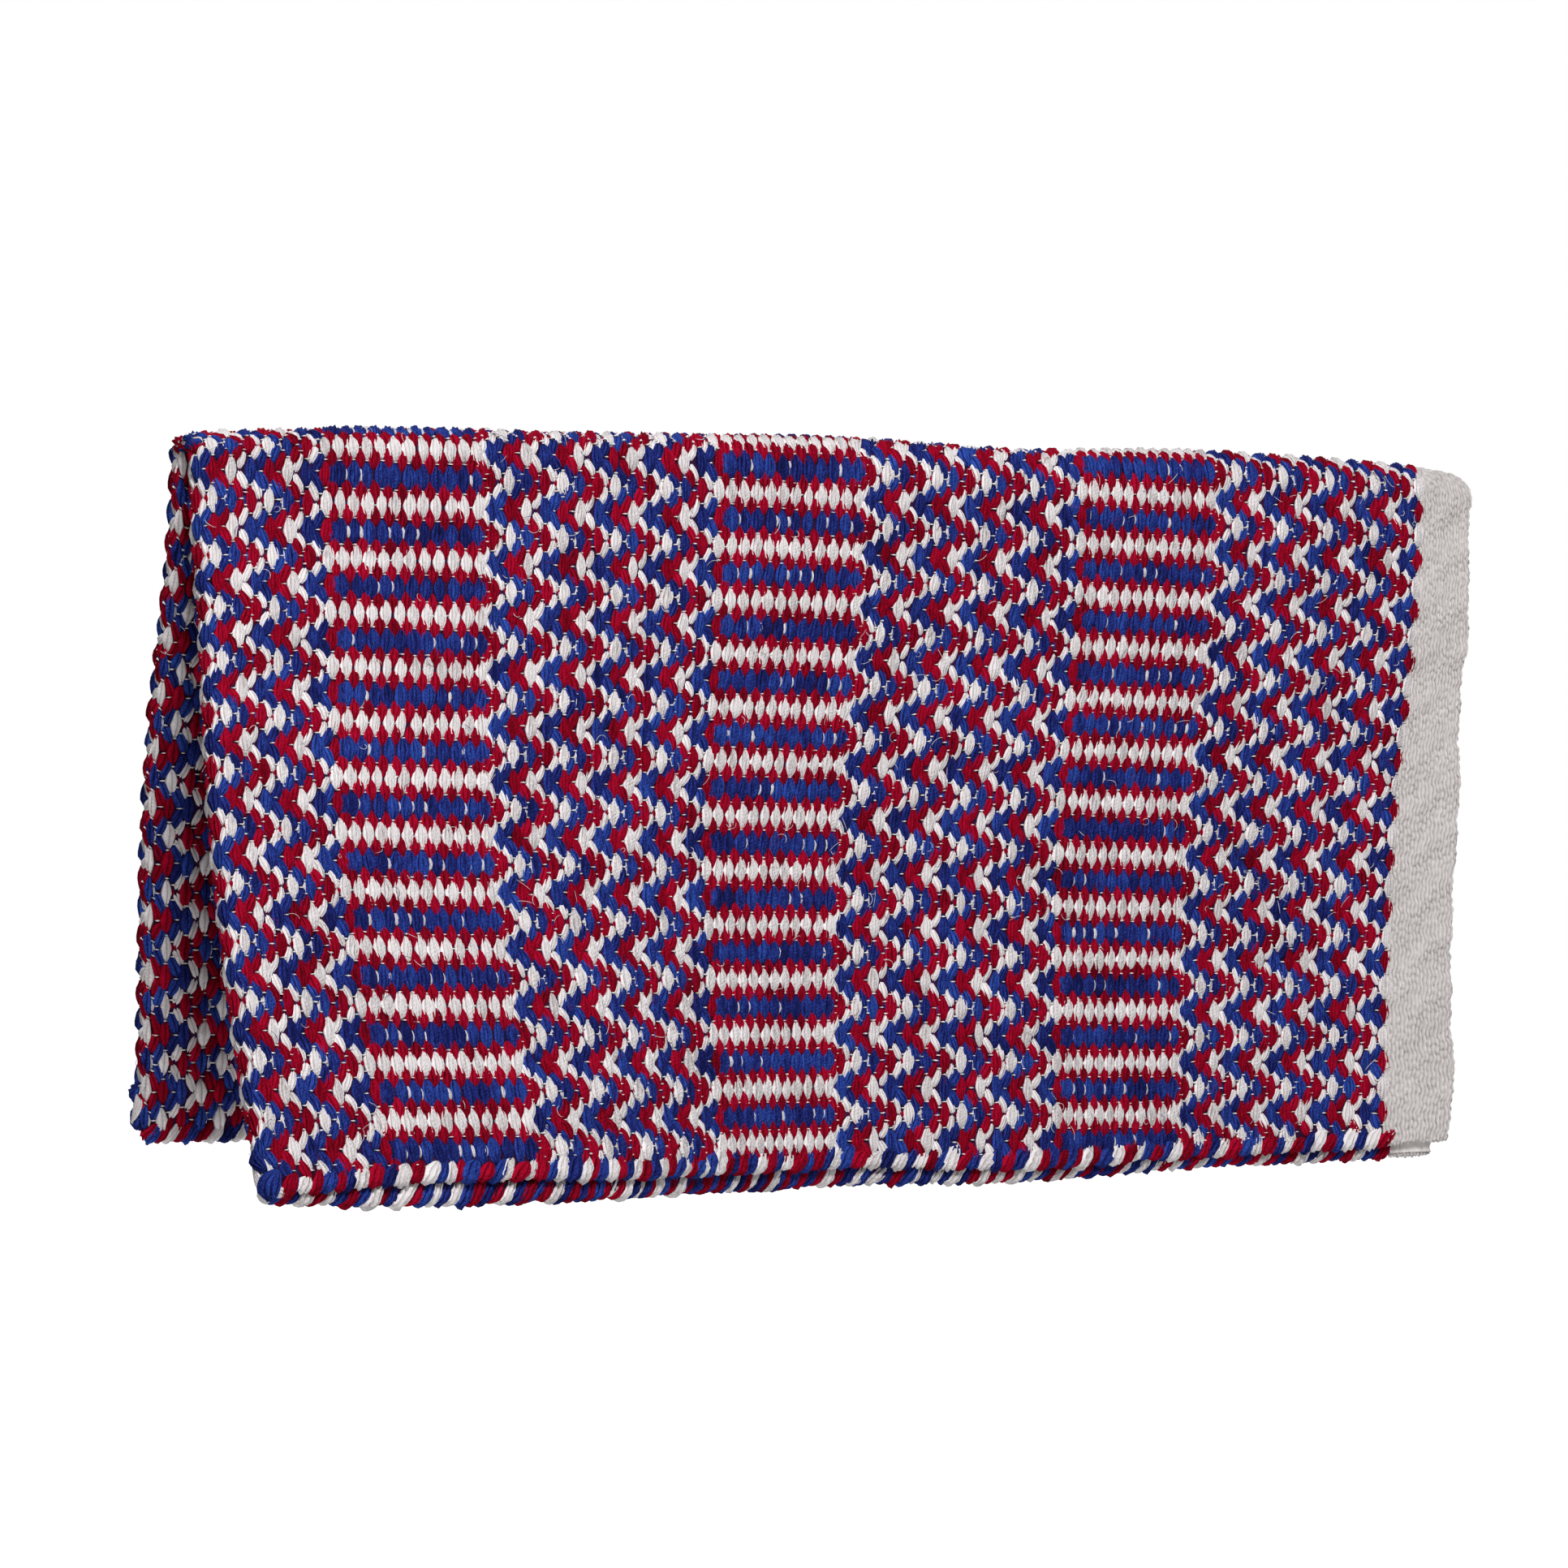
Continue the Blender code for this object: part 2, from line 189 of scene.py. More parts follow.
def hang(points):
    """Places on the flat cloth, bent round the turned fold, over the rail and round the hems.

    A place is along the warp from the turned fold, across it from the near shoulder, and up
    from the face.
    """
    along, across, lift = np.array(points, float).T
    turn = np.clip(-along / FOLD_RADIUS, 0, math.pi)
    inner = turn / math.pi
    fold_s = from_the_fold(along)
    near_drop, far_drop = (
        HEM_DROP * through(HEM_SHARES, flap["drops"], fold_s / FOLDED_LENGTH) * inner
        for flap in (NEAR, FAR)
    )
    low_hem, back_hem = near_hem(along), far_hem(along)
    past = np.maximum(across - low_hem, back_hem - across)
    hem_turn = np.clip(past / HEM_RADIUS, 0, math.pi)
    over = (HEM_RADIUS + lift) * np.sin(hem_turn) - np.maximum(past - HEM_ARC, 0)
    depth = HEM_RADIUS - (HEM_RADIUS + lift) * np.cos(hem_turn)
    radius = FOLD_RADIUS - depth
    s = fold_s - radius * np.sin(turn)
    u = FOLD_RADIUS + radius * np.cos(turn)
    world = np.zeros((len(s), 3))
    near = across > -near_drop
    t = np.minimum(across, low_hem) + near_drop + over
    world[near] = hang_on_flap(NEAR, s[near], t[near], u[near])
    far = across < -2 * CREST_ARC + far_drop
    t = -2 * CREST_ARC - np.maximum(across, back_hem) + far_drop + over
    world[far] = hang_on_flap(FAR, s[far], t[far], u[far])
    crown = ~near & ~far
    station = across + CREST_ARC
    station = station * CREST_ARC / (CREST_ARC - np.where(station > 0, near_drop, far_drop))
    arc = np.minimum(np.abs(station), CREST_ARC)
    angle = np.maximum(arc - SEAT_HALF, 0) / BEND_RADIUS
    header = np.clip((s - HEADER_LINE) / HEADER_WIDTH, 0, 1)
    rise = through(HEM_SHARES, CREST_RISES, s / FOLDED_LENGTH)
    rise *= RISE_INSIDE + (1 - RISE_INSIDE) * np.clip(u / STACK, 0, 1)
    x = s - FOLDED_LENGTH / 2 - HEADER_INSET * header * (1 - np.sin(angle))
    y = -np.sign(station) * (np.minimum(arc, SEAT_HALF) + (SEAT_RADIUS + u) * np.sin(angle))
    z = SHOULDER_Z + (SEAT_RADIUS + u + rise) * np.cos(angle)
    world[crown] = np.stack([x, y, z], axis=-1)[crown]
    return world


def hang_piece(name, mesh):
    """A mesh laid out on the flat cloth becomes a piece that hangs with its flap."""
    flat = np.zeros(len(mesh.vertices) * 3)
    mesh.vertices.foreach_get("co", flat)
    mesh.vertices.foreach_set("co", hang(flat.reshape(-1, 3)).astype(np.float32).ravel())
    mesh.update()
    piece = bpy.data.objects.new(name, mesh)
    bpy.context.scene.collection.objects.link(piece)
    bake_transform(piece)
    return piece


ROUGHNESS = 0.95
SHINE = 0.05
FIBRE_STRETCH = (3.0, 2.2, 1.0)
FIBRE_SHIFTS = (31.0, 17.0, 53.0)
FUZZ_SCALE = 1150.0
WEAR_SCALE = 24.0
TWIST_TURNS = 9.0
TWIST_SLANT = 1.3
TWIST_STRAY = 1.6
TWIST_SHARE = 0.05
WEAR_SHARE = 0.40
FIBRE_SHARE = 1.20
SHADE_MIDDLE = 0.525
SHADE_STOPS = (0.15, 0.5, 0.9)
GAP_STRAY = 0.30
GAP_START = -0.47
GAP_SHADE_WIDTH = 0.68
TIP_SHADE_FROM = 0.36
TIP_SHADE_TO = 0.53
FUZZ_RELIEF = 0.8
FIBRE_RELIEF = 0.8
STRAND_RELIEF = 0.5
BUMP_STRENGTH = 0.8
BUMP_DEPTH = 0.0008


def cotton(name, shades, groove, crease_shade_colour=(0.2, 0.2, 0.2), by_tone_and_recess_shade=0.30, speckle=1.25):
    """Matte cotton: a strand to each unit of the map, fibres along it, and painted shade in the
    creases between strands and at the bundle tips.
    """
    material = bpy.data.materials.new(name)
    material.use_nodes = True
    nodes, links = material.node_tree.nodes, material.node_tree.links
    shader = nodes["Principled BSDF"]
    shader.inputs["Roughness"].default_value = ROUGHNESS
    shader.inputs["Specular IOR Level"].default_value = SHINE

    def maths(operation, *values):
        node = nodes.new("ShaderNodeMath")
        node.operation = operation
        for socket, value in zip(node.inputs, values):
            if isinstance(value, (int, float)):
                socket.default_value = value
            else:
                links.new(value, socket)
        return node.outputs["Value"]

    def noise(vector, scale, detail=2.0, roughness=0.5):
        node = nodes.new("ShaderNodeTexNoise")
        node.inputs["Scale"].default_value = scale
        node.inputs["Detail"].default_value = detail
        node.inputs["Roughness"].default_value = roughness
        links.new(vector, node.inputs["Vector"])
        return node.outputs["Fac"]

    def fade(value, start, end, first, last):
        node = nodes.new("ShaderNodeMapRange")
        node.interpolation_type = "SMOOTHSTEP"
        names = ("From Min", "From Max", "To Min", "To Max")
        for name, number in zip(names, (start, end, first, last)):
            node.inputs[name].default_value = number
        links.new(value, node.inputs["Value"])
        return node.outputs["Result"]

    place = nodes.new("ShaderNodeTexCoord")
    tuft_tone_and_recess_shade = nodes.new("ShaderNodeAttribute")
    tuft_tone_and_recess_shade.attribute_name = "tuft_tone_and_recess_shade"
    stretch = nodes.new("ShaderNodeMapping")
    stretch.inputs["Scale"].default_value = FIBRE_STRETCH
    links.new(place.outputs["UV"], stretch.inputs["Vector"])
    shift = nodes.new("ShaderNodeVectorMath")
    shift.operation = "MULTIPLY_ADD"
    shift.inputs[1].default_value = FIBRE_SHIFTS
    links.new(tuft_tone_and_recess_shade.outputs["Fac"], shift.inputs[0])
    links.new(stretch.outputs["Vector"], shift.inputs[2])
    fibres = noise(shift.outputs["Vector"], 1.0, detail=5.0, roughness=0.62)
    fuzz = noise(place.outputs["Object"], FUZZ_SCALE, detail=3.0, roughness=0.7)
    wear = noise(place.outputs["Object"], WEAR_SCALE)
    split = nodes.new("ShaderNodeSeparateXYZ")
    links.new(place.outputs["UV"], split.inputs["Vector"])
    slant = maths("MULTIPLY", split.outputs["X"], TWIST_SLANT)
    turns = maths("MULTIPLY_ADD", split.outputs["Y"], TWIST_TURNS, slant)
    turns = maths("MULTIPLY_ADD", fibres, TWIST_STRAY, turns)
    twist = maths("SINE", maths("MULTIPLY", turns, 2 * math.pi))
    middle = SHADE_MIDDLE - (by_tone_and_recess_shade + speckle + WEAR_SHARE + FIBRE_SHARE) / 2
    # The tuft value moves the tone: a random tone for each bundle of weft, and on the headers the
    # depth of the recesses, so that they get painted shade.
    shade = maths("MULTIPLY_ADD", tuft_tone_and_recess_shade.outputs["Fac"], by_tone_and_recess_shade, middle)
    shade = maths("MULTIPLY_ADD", wear, WEAR_SHARE, shade)
    shade = maths("MULTIPLY_ADD", fibres, FIBRE_SHARE, shade)
    shade = maths("MULTIPLY_ADD", fuzz, speckle, shade)
    shade = maths("MULTIPLY_ADD", twist, TWIST_SHARE if groove else 0.0, shade)
    ramp = nodes.new("ShaderNodeValToRGB")
    ramp.color_ramp.elements.new(0.5)
    for stop, at, colour in zip(ramp.color_ramp.elements, SHADE_STOPS, shades):
        stop.position = at
        stop.color = (*colour, 1)
    links.new(shade, ramp.inputs["Fac"])
    stray = maths("MULTIPLY_ADD", fibres, GAP_STRAY, split.outputs["X"])
    strands = maths("ABSOLUTE", maths("SINE", maths("MULTIPLY_ADD", stray, math.pi, GAP_START)))
    # Painted shade: the gaps between strands and the ends of each bundle are darkened towards the
    # crease colour by the groove amount, where the creases would lie in shadow.
    gap = fade(strands, 0.0, GAP_SHADE_WIDTH, groove, 0.0)
    from_middle = maths("ABSOLUTE", maths("SUBTRACT", split.outputs["Y"], 0.5))
    tip_shade = fade(from_middle, TIP_SHADE_FROM, TIP_SHADE_TO, 0.0, groove)
    crease_shade_mix = nodes.new("ShaderNodeMix")
    crease_shade_mix.data_type = "RGBA"
    crease_shade_mix.blend_type = "MULTIPLY"
    links.new(maths("MAXIMUM", gap, tip_shade), crease_shade_mix.inputs["Factor"])
    links.new(ramp.outputs["Color"], crease_shade_mix.inputs["A"])
    crease_shade_mix.inputs["B"].default_value = (*crease_shade_colour, 1)
    links.new(crease_shade_mix.outputs["Result"], shader.inputs["Base Color"])
    height = maths("MULTIPLY", fibres, FIBRE_RELIEF)
    height = maths("MULTIPLY_ADD", fuzz, FUZZ_RELIEF * speckle, height)
    if groove:
        height = maths("MULTIPLY_ADD", twist, TWIST_SHARE, height)
        height = maths("MULTIPLY_ADD", strands, STRAND_RELIEF, height)
    bump = nodes.new("ShaderNodeBump")
    bump.inputs["Strength"].default_value = BUMP_STRENGTH
    bump.inputs["Distance"].default_value = BUMP_DEPTH
    links.new(height, bump.inputs["Height"])
    links.new(bump.outputs["Normal"], shader.inputs["Normal"])
    return material


def flat_cloth_mesh(bm, name):
    """The mesh of a slab of flat cloth: smooth but for its long ends, and mapped by place."""
    bmesh.ops.recalc_face_normals(bm, faces=bm.faces)
    layer = bm.loops.layers.uv.new("UVMap")
    for face in bm.faces:
        face.smooth = len(face.verts) < 5
        for loop in face.loops:
            loop[layer].uv = (loop.vert.co.x * CLOTH_MAP[0], loop.vert.co.y * CLOTH_MAP[1])
    mesh = bpy.data.meshes.new(name)
    bm.to_mesh(mesh)
    bm.free()
    return mesh


def ground_mesh(name, hem):
    """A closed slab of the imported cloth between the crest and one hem."""
    bm = bmesh.new()
    columns = round((OUTER_END - INNER_END) / GROUND_STEP)
    rows = round(abs(float(hem(0.0)) + CREST_ARC) / GROUND_STEP)
    bmesh.ops.create_grid(bm, x_segments=columns, y_segments=rows, size=0.5)
    alongs = np.array([INNER_END + (v.co.x + 0.5) * (OUTER_END - INNER_END) for v in bm.verts])
    shares = np.array([v.co.y + 0.5 for v in bm.verts])
    ends = hem(alongs)
    acrosses = -CREST_ARC + shares * (ends + CREST_ARC)
    for vert, along, across in zip(bm.verts, alongs, acrosses):
        vert.co = (along, across, -GROUND_DEPTH)
    made = bmesh.ops.extrude_face_region(bm, geom=bm.faces[:])
    back = [v for v in made["geom"] if isinstance(v, bmesh.types.BMVert)]
    bmesh.ops.translate(bm, verts=back, vec=(0, 0, GROUND_DEPTH - GROUND_BACK))
    return flat_cloth_mesh(bm, name)


# The ground is the real under weave of the cloth, but its cotton is near black as painted shade for
# the crevices between the floats.
ground_cotton_crevice_shade = cotton(
    "ground_cotton_crevice_shade",
    shades=((0.010, 0.004, 0.016), (0.035, 0.008, 0.040), (0.10, 0.012, 0.05)),
    groove=0.0,
)
HALVES = (("near", near_hem), ("far", far_hem))
for half, hem in HALVES:
    mesh = ground_mesh(f"{half}_ground_cloth", hem)
    mesh.materials.append(ground_cotton_crevice_shade)
    hang_piece(f"{half}_ground_cloth", mesh)
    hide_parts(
        *(f"{half}_{part}" for part in ("outer_ply", "inner_ply", "turned_fold"))
    )
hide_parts("crown_outer_ply", "crown_inner_ply", "crown_turned_fold")


# The floats: bundles of soft cotton weft that lie on the face and make the pattern.
# Ladders have full lozenges in blue and white rungs with red ones between the rungs, and
# zigzags have full lozenges with pairs of slanted half floats, held by white warp ticks.

RED, BLUE, WHITE = 0, 1, 2
RUNG, LONG, FILL, HALF, TICK = 0, 1, 2, 3, 4
LADDER_STEP = 0.00797
ZIGZAG_STEP = 0.0106
LADDER_COLUMNS = 12
ZIGZAG_COLUMNS = 13
UNIT = LADDER_COLUMNS * LADDER_STEP + ZIGZAG_COLUMNS * ZIGZAG_STEP
FIRST_LADDER = 0.06765
LEVEL = 0.0076
ROW_SHARES = (0.0, 0.13, 0.44, 0.74, 1.0)
ROW_TOPS = (0.0095, 0.0104, 0.0138, 0.0226, 0.0270)
ROW_STEPS = (0.0303, 0.0303, 0.0297, 0.0296, 0.0296)
FLOAT_BED = 0.0030
PULL_FROM = 0.636
TOP_PULL = 0.003
HEM_PULL = -0.006
BUNDLES_A_KIND = 4
TIP_HEIGHT = 0.12
HEIGHT_CURVE = 0.75
DOME_CURVE = 0.45
MIDDLE_STRAY = 0.02
HEIGHT_STRAY = 0.07
STRAND_STRAY = 0.10


def bundle_mesh(name, rings, strands, fullness, seed, bow, crease):
    """One bundle of weft, a unit long, wide and high: soft strands that meet at both ends."""
    loose = np.random.default_rng(seed)
    bm = bmesh.new()
    across = 2 * strands
    layer = bm.loops.layers.uv.new("UVMap")
    lines = []
    for k in range(1, rings):
        along = k / rings
        width = 1 - abs(2 * along - 1) ** fullness
        height = TIP_HEIGHT + (1 - TIP_HEIGHT) * math.sin(math.pi * along) ** HEIGHT_CURVE
        middle = bow * ((2 * along - 1) ** 2 - 0.5) + loose.normal(0, MIDDLE_STRAY)
        line = []
        for n in range(across + 1):
            at = 2 * n / across - 1
            dome = max(1 - at * at, 0) ** DOME_CURVE
            groove = crease if n % 2 == 0 and strands > 1 else 0.0
            z = height * dome * (1 - groove) * (1 + loose.normal(0, HEIGHT_STRAY))
            x = middle + (at + loose.normal(0, STRAND_STRAY / strands)) * width / 2
            line.append(bm.verts.new((x, along - 0.5, z if 0 < n < across else 0.0)))
        lines.append(line)
    first = bm.verts.new((bow / 2, -0.5, 0))
    last = bm.verts.new((bow / 2, 0.5, 0))

    def skin(corners):
        face = bm.faces.new([vert for vert, _, _ in corners])
        face.smooth = True
        for loop, (_, u, v) in zip(face.loops, corners):
            loop[layer].uv = (u, v)

    for n in range(across):
        u, v = n / 2, 1 / rings
        skin(((first, u + 0.25, 0), (lines[0][n + 1], u + 0.5, v), (lines[0][n], u, v)))
        for k in range(rings - 2):
            skin((
                (lines[k][n], u, (k + 1) * v), (lines[k][n + 1], u + 0.5, (k + 1) * v),
                (lines[k + 1][n + 1], u + 0.5, (k + 2) * v), (lines[k + 1][n], u, (k + 2) * v),
            ))
        skin(((last, u + 0.25, 1), (lines[-1][n], u, 1 - v), (lines[-1][n + 1], u + 0.5, 1 - v)))
    below = [[(line[0], 0, 0), (line[-1], 0, 0)] for line in lines]
    below = [[(first, 0, 0)], *below, [(last, 0, 0)]]
    for one, two in zip(below, below[1:]):
        skin(one + two[::-1])
    bmesh.ops.recalc_face_normals(bm, faces=bm.faces)
    mesh = bpy.data.meshes.new(name)
    bm.to_mesh(mesh)
    bm.free()
    return bpy.data.objects.new(name, mesh)


def bundle_kinds(name, rings, strands, fullness, bow=0.0, crease=0.46):
    """Four bundles of one kind, each with its strands laid a little differently."""
    kinds = bpy.data.collections.new(name)
    for seed in range(BUNDLES_A_KIND):
        kinds.objects.link(
            bundle_mesh(f"{name}_{seed + 1}", rings, strands, fullness, seed, bow, crease)
        )
    return kinds


def bundle_tree():
    """Geometry Nodes: a bundle on each point, turned and sized by the point, then made real."""
    tree = bpy.data.node_groups.new("Weft bundles", "GeometryNodeTree")
    sockets = {}
    for name, kind in (
        ("Geometry", "NodeSocketGeometry"),
        ("Bundles", "NodeSocketCollection"),
        ("Uneven size", "NodeSocketFloat"),
        ("Seed", "NodeSocketInt"),
        ("Cotton", "NodeSocketMaterial"),
    ):
        sockets[name] = tree.interface.new_socket(name, in_out="INPUT", socket_type=kind).identifier
    tree.interface.new_socket("Geometry", in_out="OUTPUT", socket_type="NodeSocketGeometry")
    nodes, links = tree.nodes, tree.links
    given = nodes.new("NodeGroupInput").outputs
    bundles = nodes.new("GeometryNodeCollectionInfo")
    bundles.inputs["Separate Children"].default_value = True
    bundles.inputs["Reset Children"].default_value = True
    links.new(given["Bundles"], bundles.inputs["Collection"])
    pick = nodes.new("FunctionNodeRandomValue")
    pick.data_type = "INT"
    links.new(given["Seed"], pick.inputs["Seed"])
    for socket in pick.inputs:
        if socket.enabled and socket.name in ("Min", "Max"):
            socket.default_value = 0 if socket.name == "Min" else BUNDLES_A_KIND - 1

    def stored(name):
        node = nodes.new("GeometryNodeInputNamedAttribute")
        node.data_type = "FLOAT_VECTOR"
        node.inputs["Name"].default_value = name
        return node.outputs["Attribute"]

    rotation = nodes.new("FunctionNodeEulerToRotation")
    links.new(stored("turn"), rotation.inputs[0])
    uneven = nodes.new("FunctionNodeRandomValue")
    uneven.data_type = "FLOAT_VECTOR"
    for limit, operation in (("Min", "SUBTRACT"), ("Max", "ADD")):
        from_one = nodes.new("ShaderNodeMath")
        from_one.operation = operation
        from_one.inputs[0].default_value = 1.0
        links.new(given["Uneven size"], from_one.inputs[1])
        links.new(from_one.outputs[0], uneven.inputs[limit])
    links.new(given["Seed"], uneven.inputs["Seed"])
    scale = nodes.new("ShaderNodeVectorMath")
    scale.operation = "MULTIPLY"
    links.new(stored("size"), scale.inputs[0])
    links.new(uneven.outputs["Value"], scale.inputs[1])
    lay = nodes.new("GeometryNodeInstanceOnPoints")
    links.new(given["Geometry"], lay.inputs["Points"])
    links.new(bundles.outputs[0], lay.inputs["Instance"])
    lay.inputs["Pick Instance"].default_value = True
    links.new([s for s in pick.outputs if s.enabled][0], lay.inputs["Instance Index"])
    links.new(rotation.outputs[0], lay.inputs["Rotation"])
    links.new(scale.outputs["Vector"], lay.inputs["Scale"])
    tuft_tone_and_recess_shade = nodes.new("FunctionNodeRandomValue")
    tuft_tone_and_recess_shade.data_type = "FLOAT"
    links.new(given["Seed"], tuft_tone_and_recess_shade.inputs["Seed"])
    store = nodes.new("GeometryNodeStoreNamedAttribute")
    store.domain = "INSTANCE"
    store.inputs["Name"].default_value = "tuft_tone_and_recess_shade"
    links.new(lay.outputs["Instances"], store.inputs["Geometry"])
    links.new([s for s in tuft_tone_and_recess_shade.outputs if s.enabled][0], store.inputs["Value"])
    real = nodes.new("GeometryNodeRealizeInstances")
    links.new(store.outputs["Geometry"], real.inputs["Geometry"])
    dye = nodes.new("GeometryNodeSetMaterial")
    links.new(real.outputs["Geometry"], dye.inputs["Geometry"])
    links.new(given["Cotton"], dye.inputs["Material"])
    links.new(dye.outputs["Geometry"], nodes.new("NodeGroupOutput").inputs["Geometry"])
    return tree, sockets


weft_tree, weft_sockets = bundle_tree()


def lay_bundles(name, places, kinds, dyed, seed, uneven):
    """The mesh of all bundles of one kind: places holds along, across, lift, turns and sizes."""
    rows = np.array(places, float)
    points = bpy.data.meshes.new(name)
    points.from_pydata(rows[:, 0:3].tolist(), [], [])
    for attribute, columns in (("turn", rows[:, 3:6]), ("size", rows[:, 6:9])):
        made = points.attributes.new(attribute, "FLOAT_VECTOR", "POINT")
        made.data.foreach_set("vector", columns.astype(np.float32).ravel())
    carrier = bpy.data.objects.new(name, points)
    bpy.context.scene.collection.objects.link(carrier)
    modifier = carrier.modifiers.new("Weft bundles", "NODES")
    modifier.node_group = weft_tree
    modifier[weft_sockets["Bundles"]] = kinds
    modifier[weft_sockets["Uneven size"]] = uneven
    modifier[weft_sockets["Seed"]] = seed
    modifier[weft_sockets["Cotton"]] = dyed
    bpy.context.view_layer.update()
    graph = bpy.context.evaluated_depsgraph_get()
    mesh = bpy.data.meshes.new_from_object(carrier.evaluated_get(graph), depsgraph=graph)
    bpy.data.objects.remove(carrier)
    for spare in ("turn", "size"):
        if spare in mesh.attributes:
            mesh.attributes.remove(mesh.attributes[spare])
    return mesh


def join_meshes(meshes, name):
    """Several meshes of one cotton as one, with their UV map and tufts kept."""
    parts = [bpy.data.objects.new(name, mesh) for mesh in meshes]
    for part in parts:
        bpy.context.scene.collection.objects.link(part)
    bpy.context.view_layer.update()
    with bpy.context.temp_override(active_object=parts[0], selected_editable_objects=parts):
        bpy.ops.object.join()
    joined = parts[0].data
    bpy.data.objects.remove(parts[0])
    joined.name = name
    return joined


def row_place(row, along):
    """Across the cloth from the near shoulder: where a row of floats lies."""
    turn = np.clip(-along / FOLD_RADIUS, 0, math.pi)
    from_the_turn = FOLD_RADIUS * (1 - np.sin(turn)) + np.maximum(along, 0)
    share = (from_the_turn + np.maximum(-along - FOLD_ARC, 0)) / FOLDED_LENGTH
    return through(ROW_SHARES, ROW_TOPS, share) + (row - 1) * through(ROW_SHARES, ROW_STEPS, share)


def header_pull(along, across):
    """The weave is drawn towards the header at the crest and away from it at the hem."""
    from_ladder = np.clip((along + FOLD_RADIUS - PULL_FROM) / (HEADER_LINE - PULL_FROM), 0, 1)
    down = np.clip(np.abs(across + CREST_ARC) / (NEAR["length"] + CREST_ARC), 0, 1)
    return from_ladder ** 2 * (3 - 2 * from_ladder) * (TOP_PULL + (HEM_PULL - TOP_PULL) * down)


END_MARGIN = 0.001
HEM_MARGIN = 0.005
FOLD_PUFF = 1.12
PUFF_FROM = -0.018
PUFF_TO = 0.003
ALONG_STRAY = 0.0003
ACROSS_STRAY = 0.0004
TILT_STRAY = 0.05
WIDTH_STRAY = 0.10
dice = np.random.default_rng(7)
floats = {}


def add_float(kind, colour, along, row, shift, size, tilt=0.0, sink=0.0):
    """One float on the face of the cloth, if it lies between the hems and headers."""
    if not INNER_END - END_MARGIN < along < OUTER_END + END_MARGIN:
        return
    across = float(row_place(row, along)) + shift
    if not far_hem(along) + HEM_MARGIN < across < near_hem(along) - HEM_MARGIN:
        return
    half = "near" if across > -CREST_ARC else "far"
    ply = "outer" if along > -FOLD_ARC / 2 else "inner"
    puff = FOLD_PUFF if PUFF_FROM < along < PUFF_TO and kind != TICK else 1.0
    loose = dice.normal(0, 1, 4)
    floats.setdefault((half, ply, colour, kind), []).append((
        along + float(header_pull(along, across)) + loose[0] * ALONG_STRAY,
        across + loose[1] * ACROSS_STRAY,
        -FLOAT_BED - sink,
        0, 0, tilt + loose[2] * TILT_STRAY,
        size[0] * (1 + loose[3] * WIDTH_STRAY) * puff, size[1], size[2] * puff,
    ))


FULL = (0.0075, 0.0180, 0.0041)
BLUE_RUNG = (0.0080, 0.0178, 0.0043)
WHITE_RUNG = (0.0075, 0.0175, 0.0042)
CAP_RUNG = (0.0066, 0.0162, 0.0038)
CAP_SHIFT = 0.0004
FILLER = (0.0078, 0.0146, 0.0040)
FILLER_SHIFT = 0.0010
FILLER_SINK = 0.0003
PEEK_CHANCE = 0.35
BLUE_RUNG_PEEK = (0.0020, 0.0080, 0.0026)
WHITE_RUNG_PEEK = (0.0026, 0.0009, 0.0026)
PEEK_RISE = 0.0004
WARP_TICK = (0.0034, 0.0009, 0.0011)
TICK_RISE = 0.0017
MIDDLE_TICK_RISE = 0.0019
TICK_SHIFT = 0.0008
TICK_LEVEL = 1.48 * LEVEL
ARM = (0.0066, 0.0146, 0.0038)
ARM_SINK = 0.0002
WHITE_ARM = (0.0057, 0.0142, 0.0036)
WHITE_ARM_SINK = 0.0008
ARM_REACH = 1.34 * LEVEL
ARM_SHIFT = 0.0003
BLUE_ROW_ARM = (0.03, -0.34)
RED_ROW_ARM = (-0.12, 0.26)
ARM_PEEK_PLACE = 0.18
ARM_PEEKS = {
    WHITE: (RED, (0.0030, 0.0052, 0.0022)),
    RED: (BLUE, (0.0040, 0.0066, 0.0024)),
    BLUE: (WHITE, (0.0024, 0.0100, 0.0024)),
}


def weave_ladder(start, blue_phase, row):
    """The rungs of one ladder at one row, the red bundles above them and the warp ticks."""
    blue = (row - blue_phase) % 1 == 0
    for column in range(LADDER_COLUMNS):
        along = start + column * LADDER_STEP
        colour = (RED if column == 0 else BLUE) if blue else WHITE
        size = WHITE_RUNG if not blue else BLUE_RUNG if column else CAP_RUNG
        add_float(RUNG, colour, along, row, 0, size)
        add_float(TICK, WHITE, along, row, LEVEL, WARP_TICK, sink=-TICK_RISE)
        if column < LADDER_COLUMNS - 1:
            between = along + LADDER_STEP / 2
            below = LEVEL + (FILLER_SHIFT if blue else -FILLER_SHIFT)
            add_float(FILL, RED, between, row, below, FILLER, sink=FILLER_SINK)
            if blue and column == 0:
                add_float(RUNG, BLUE, between + CAP_SHIFT, row, 0, CAP_RUNG)
            elif dice.random() < PEEK_CHANCE:
                kind, peek = (HALF, BLUE_RUNG_PEEK) if blue else (TICK, WHITE_RUNG_PEEK)
                add_float(kind, WHITE, between, row, 0, peek, sink=-PEEK_RISE)


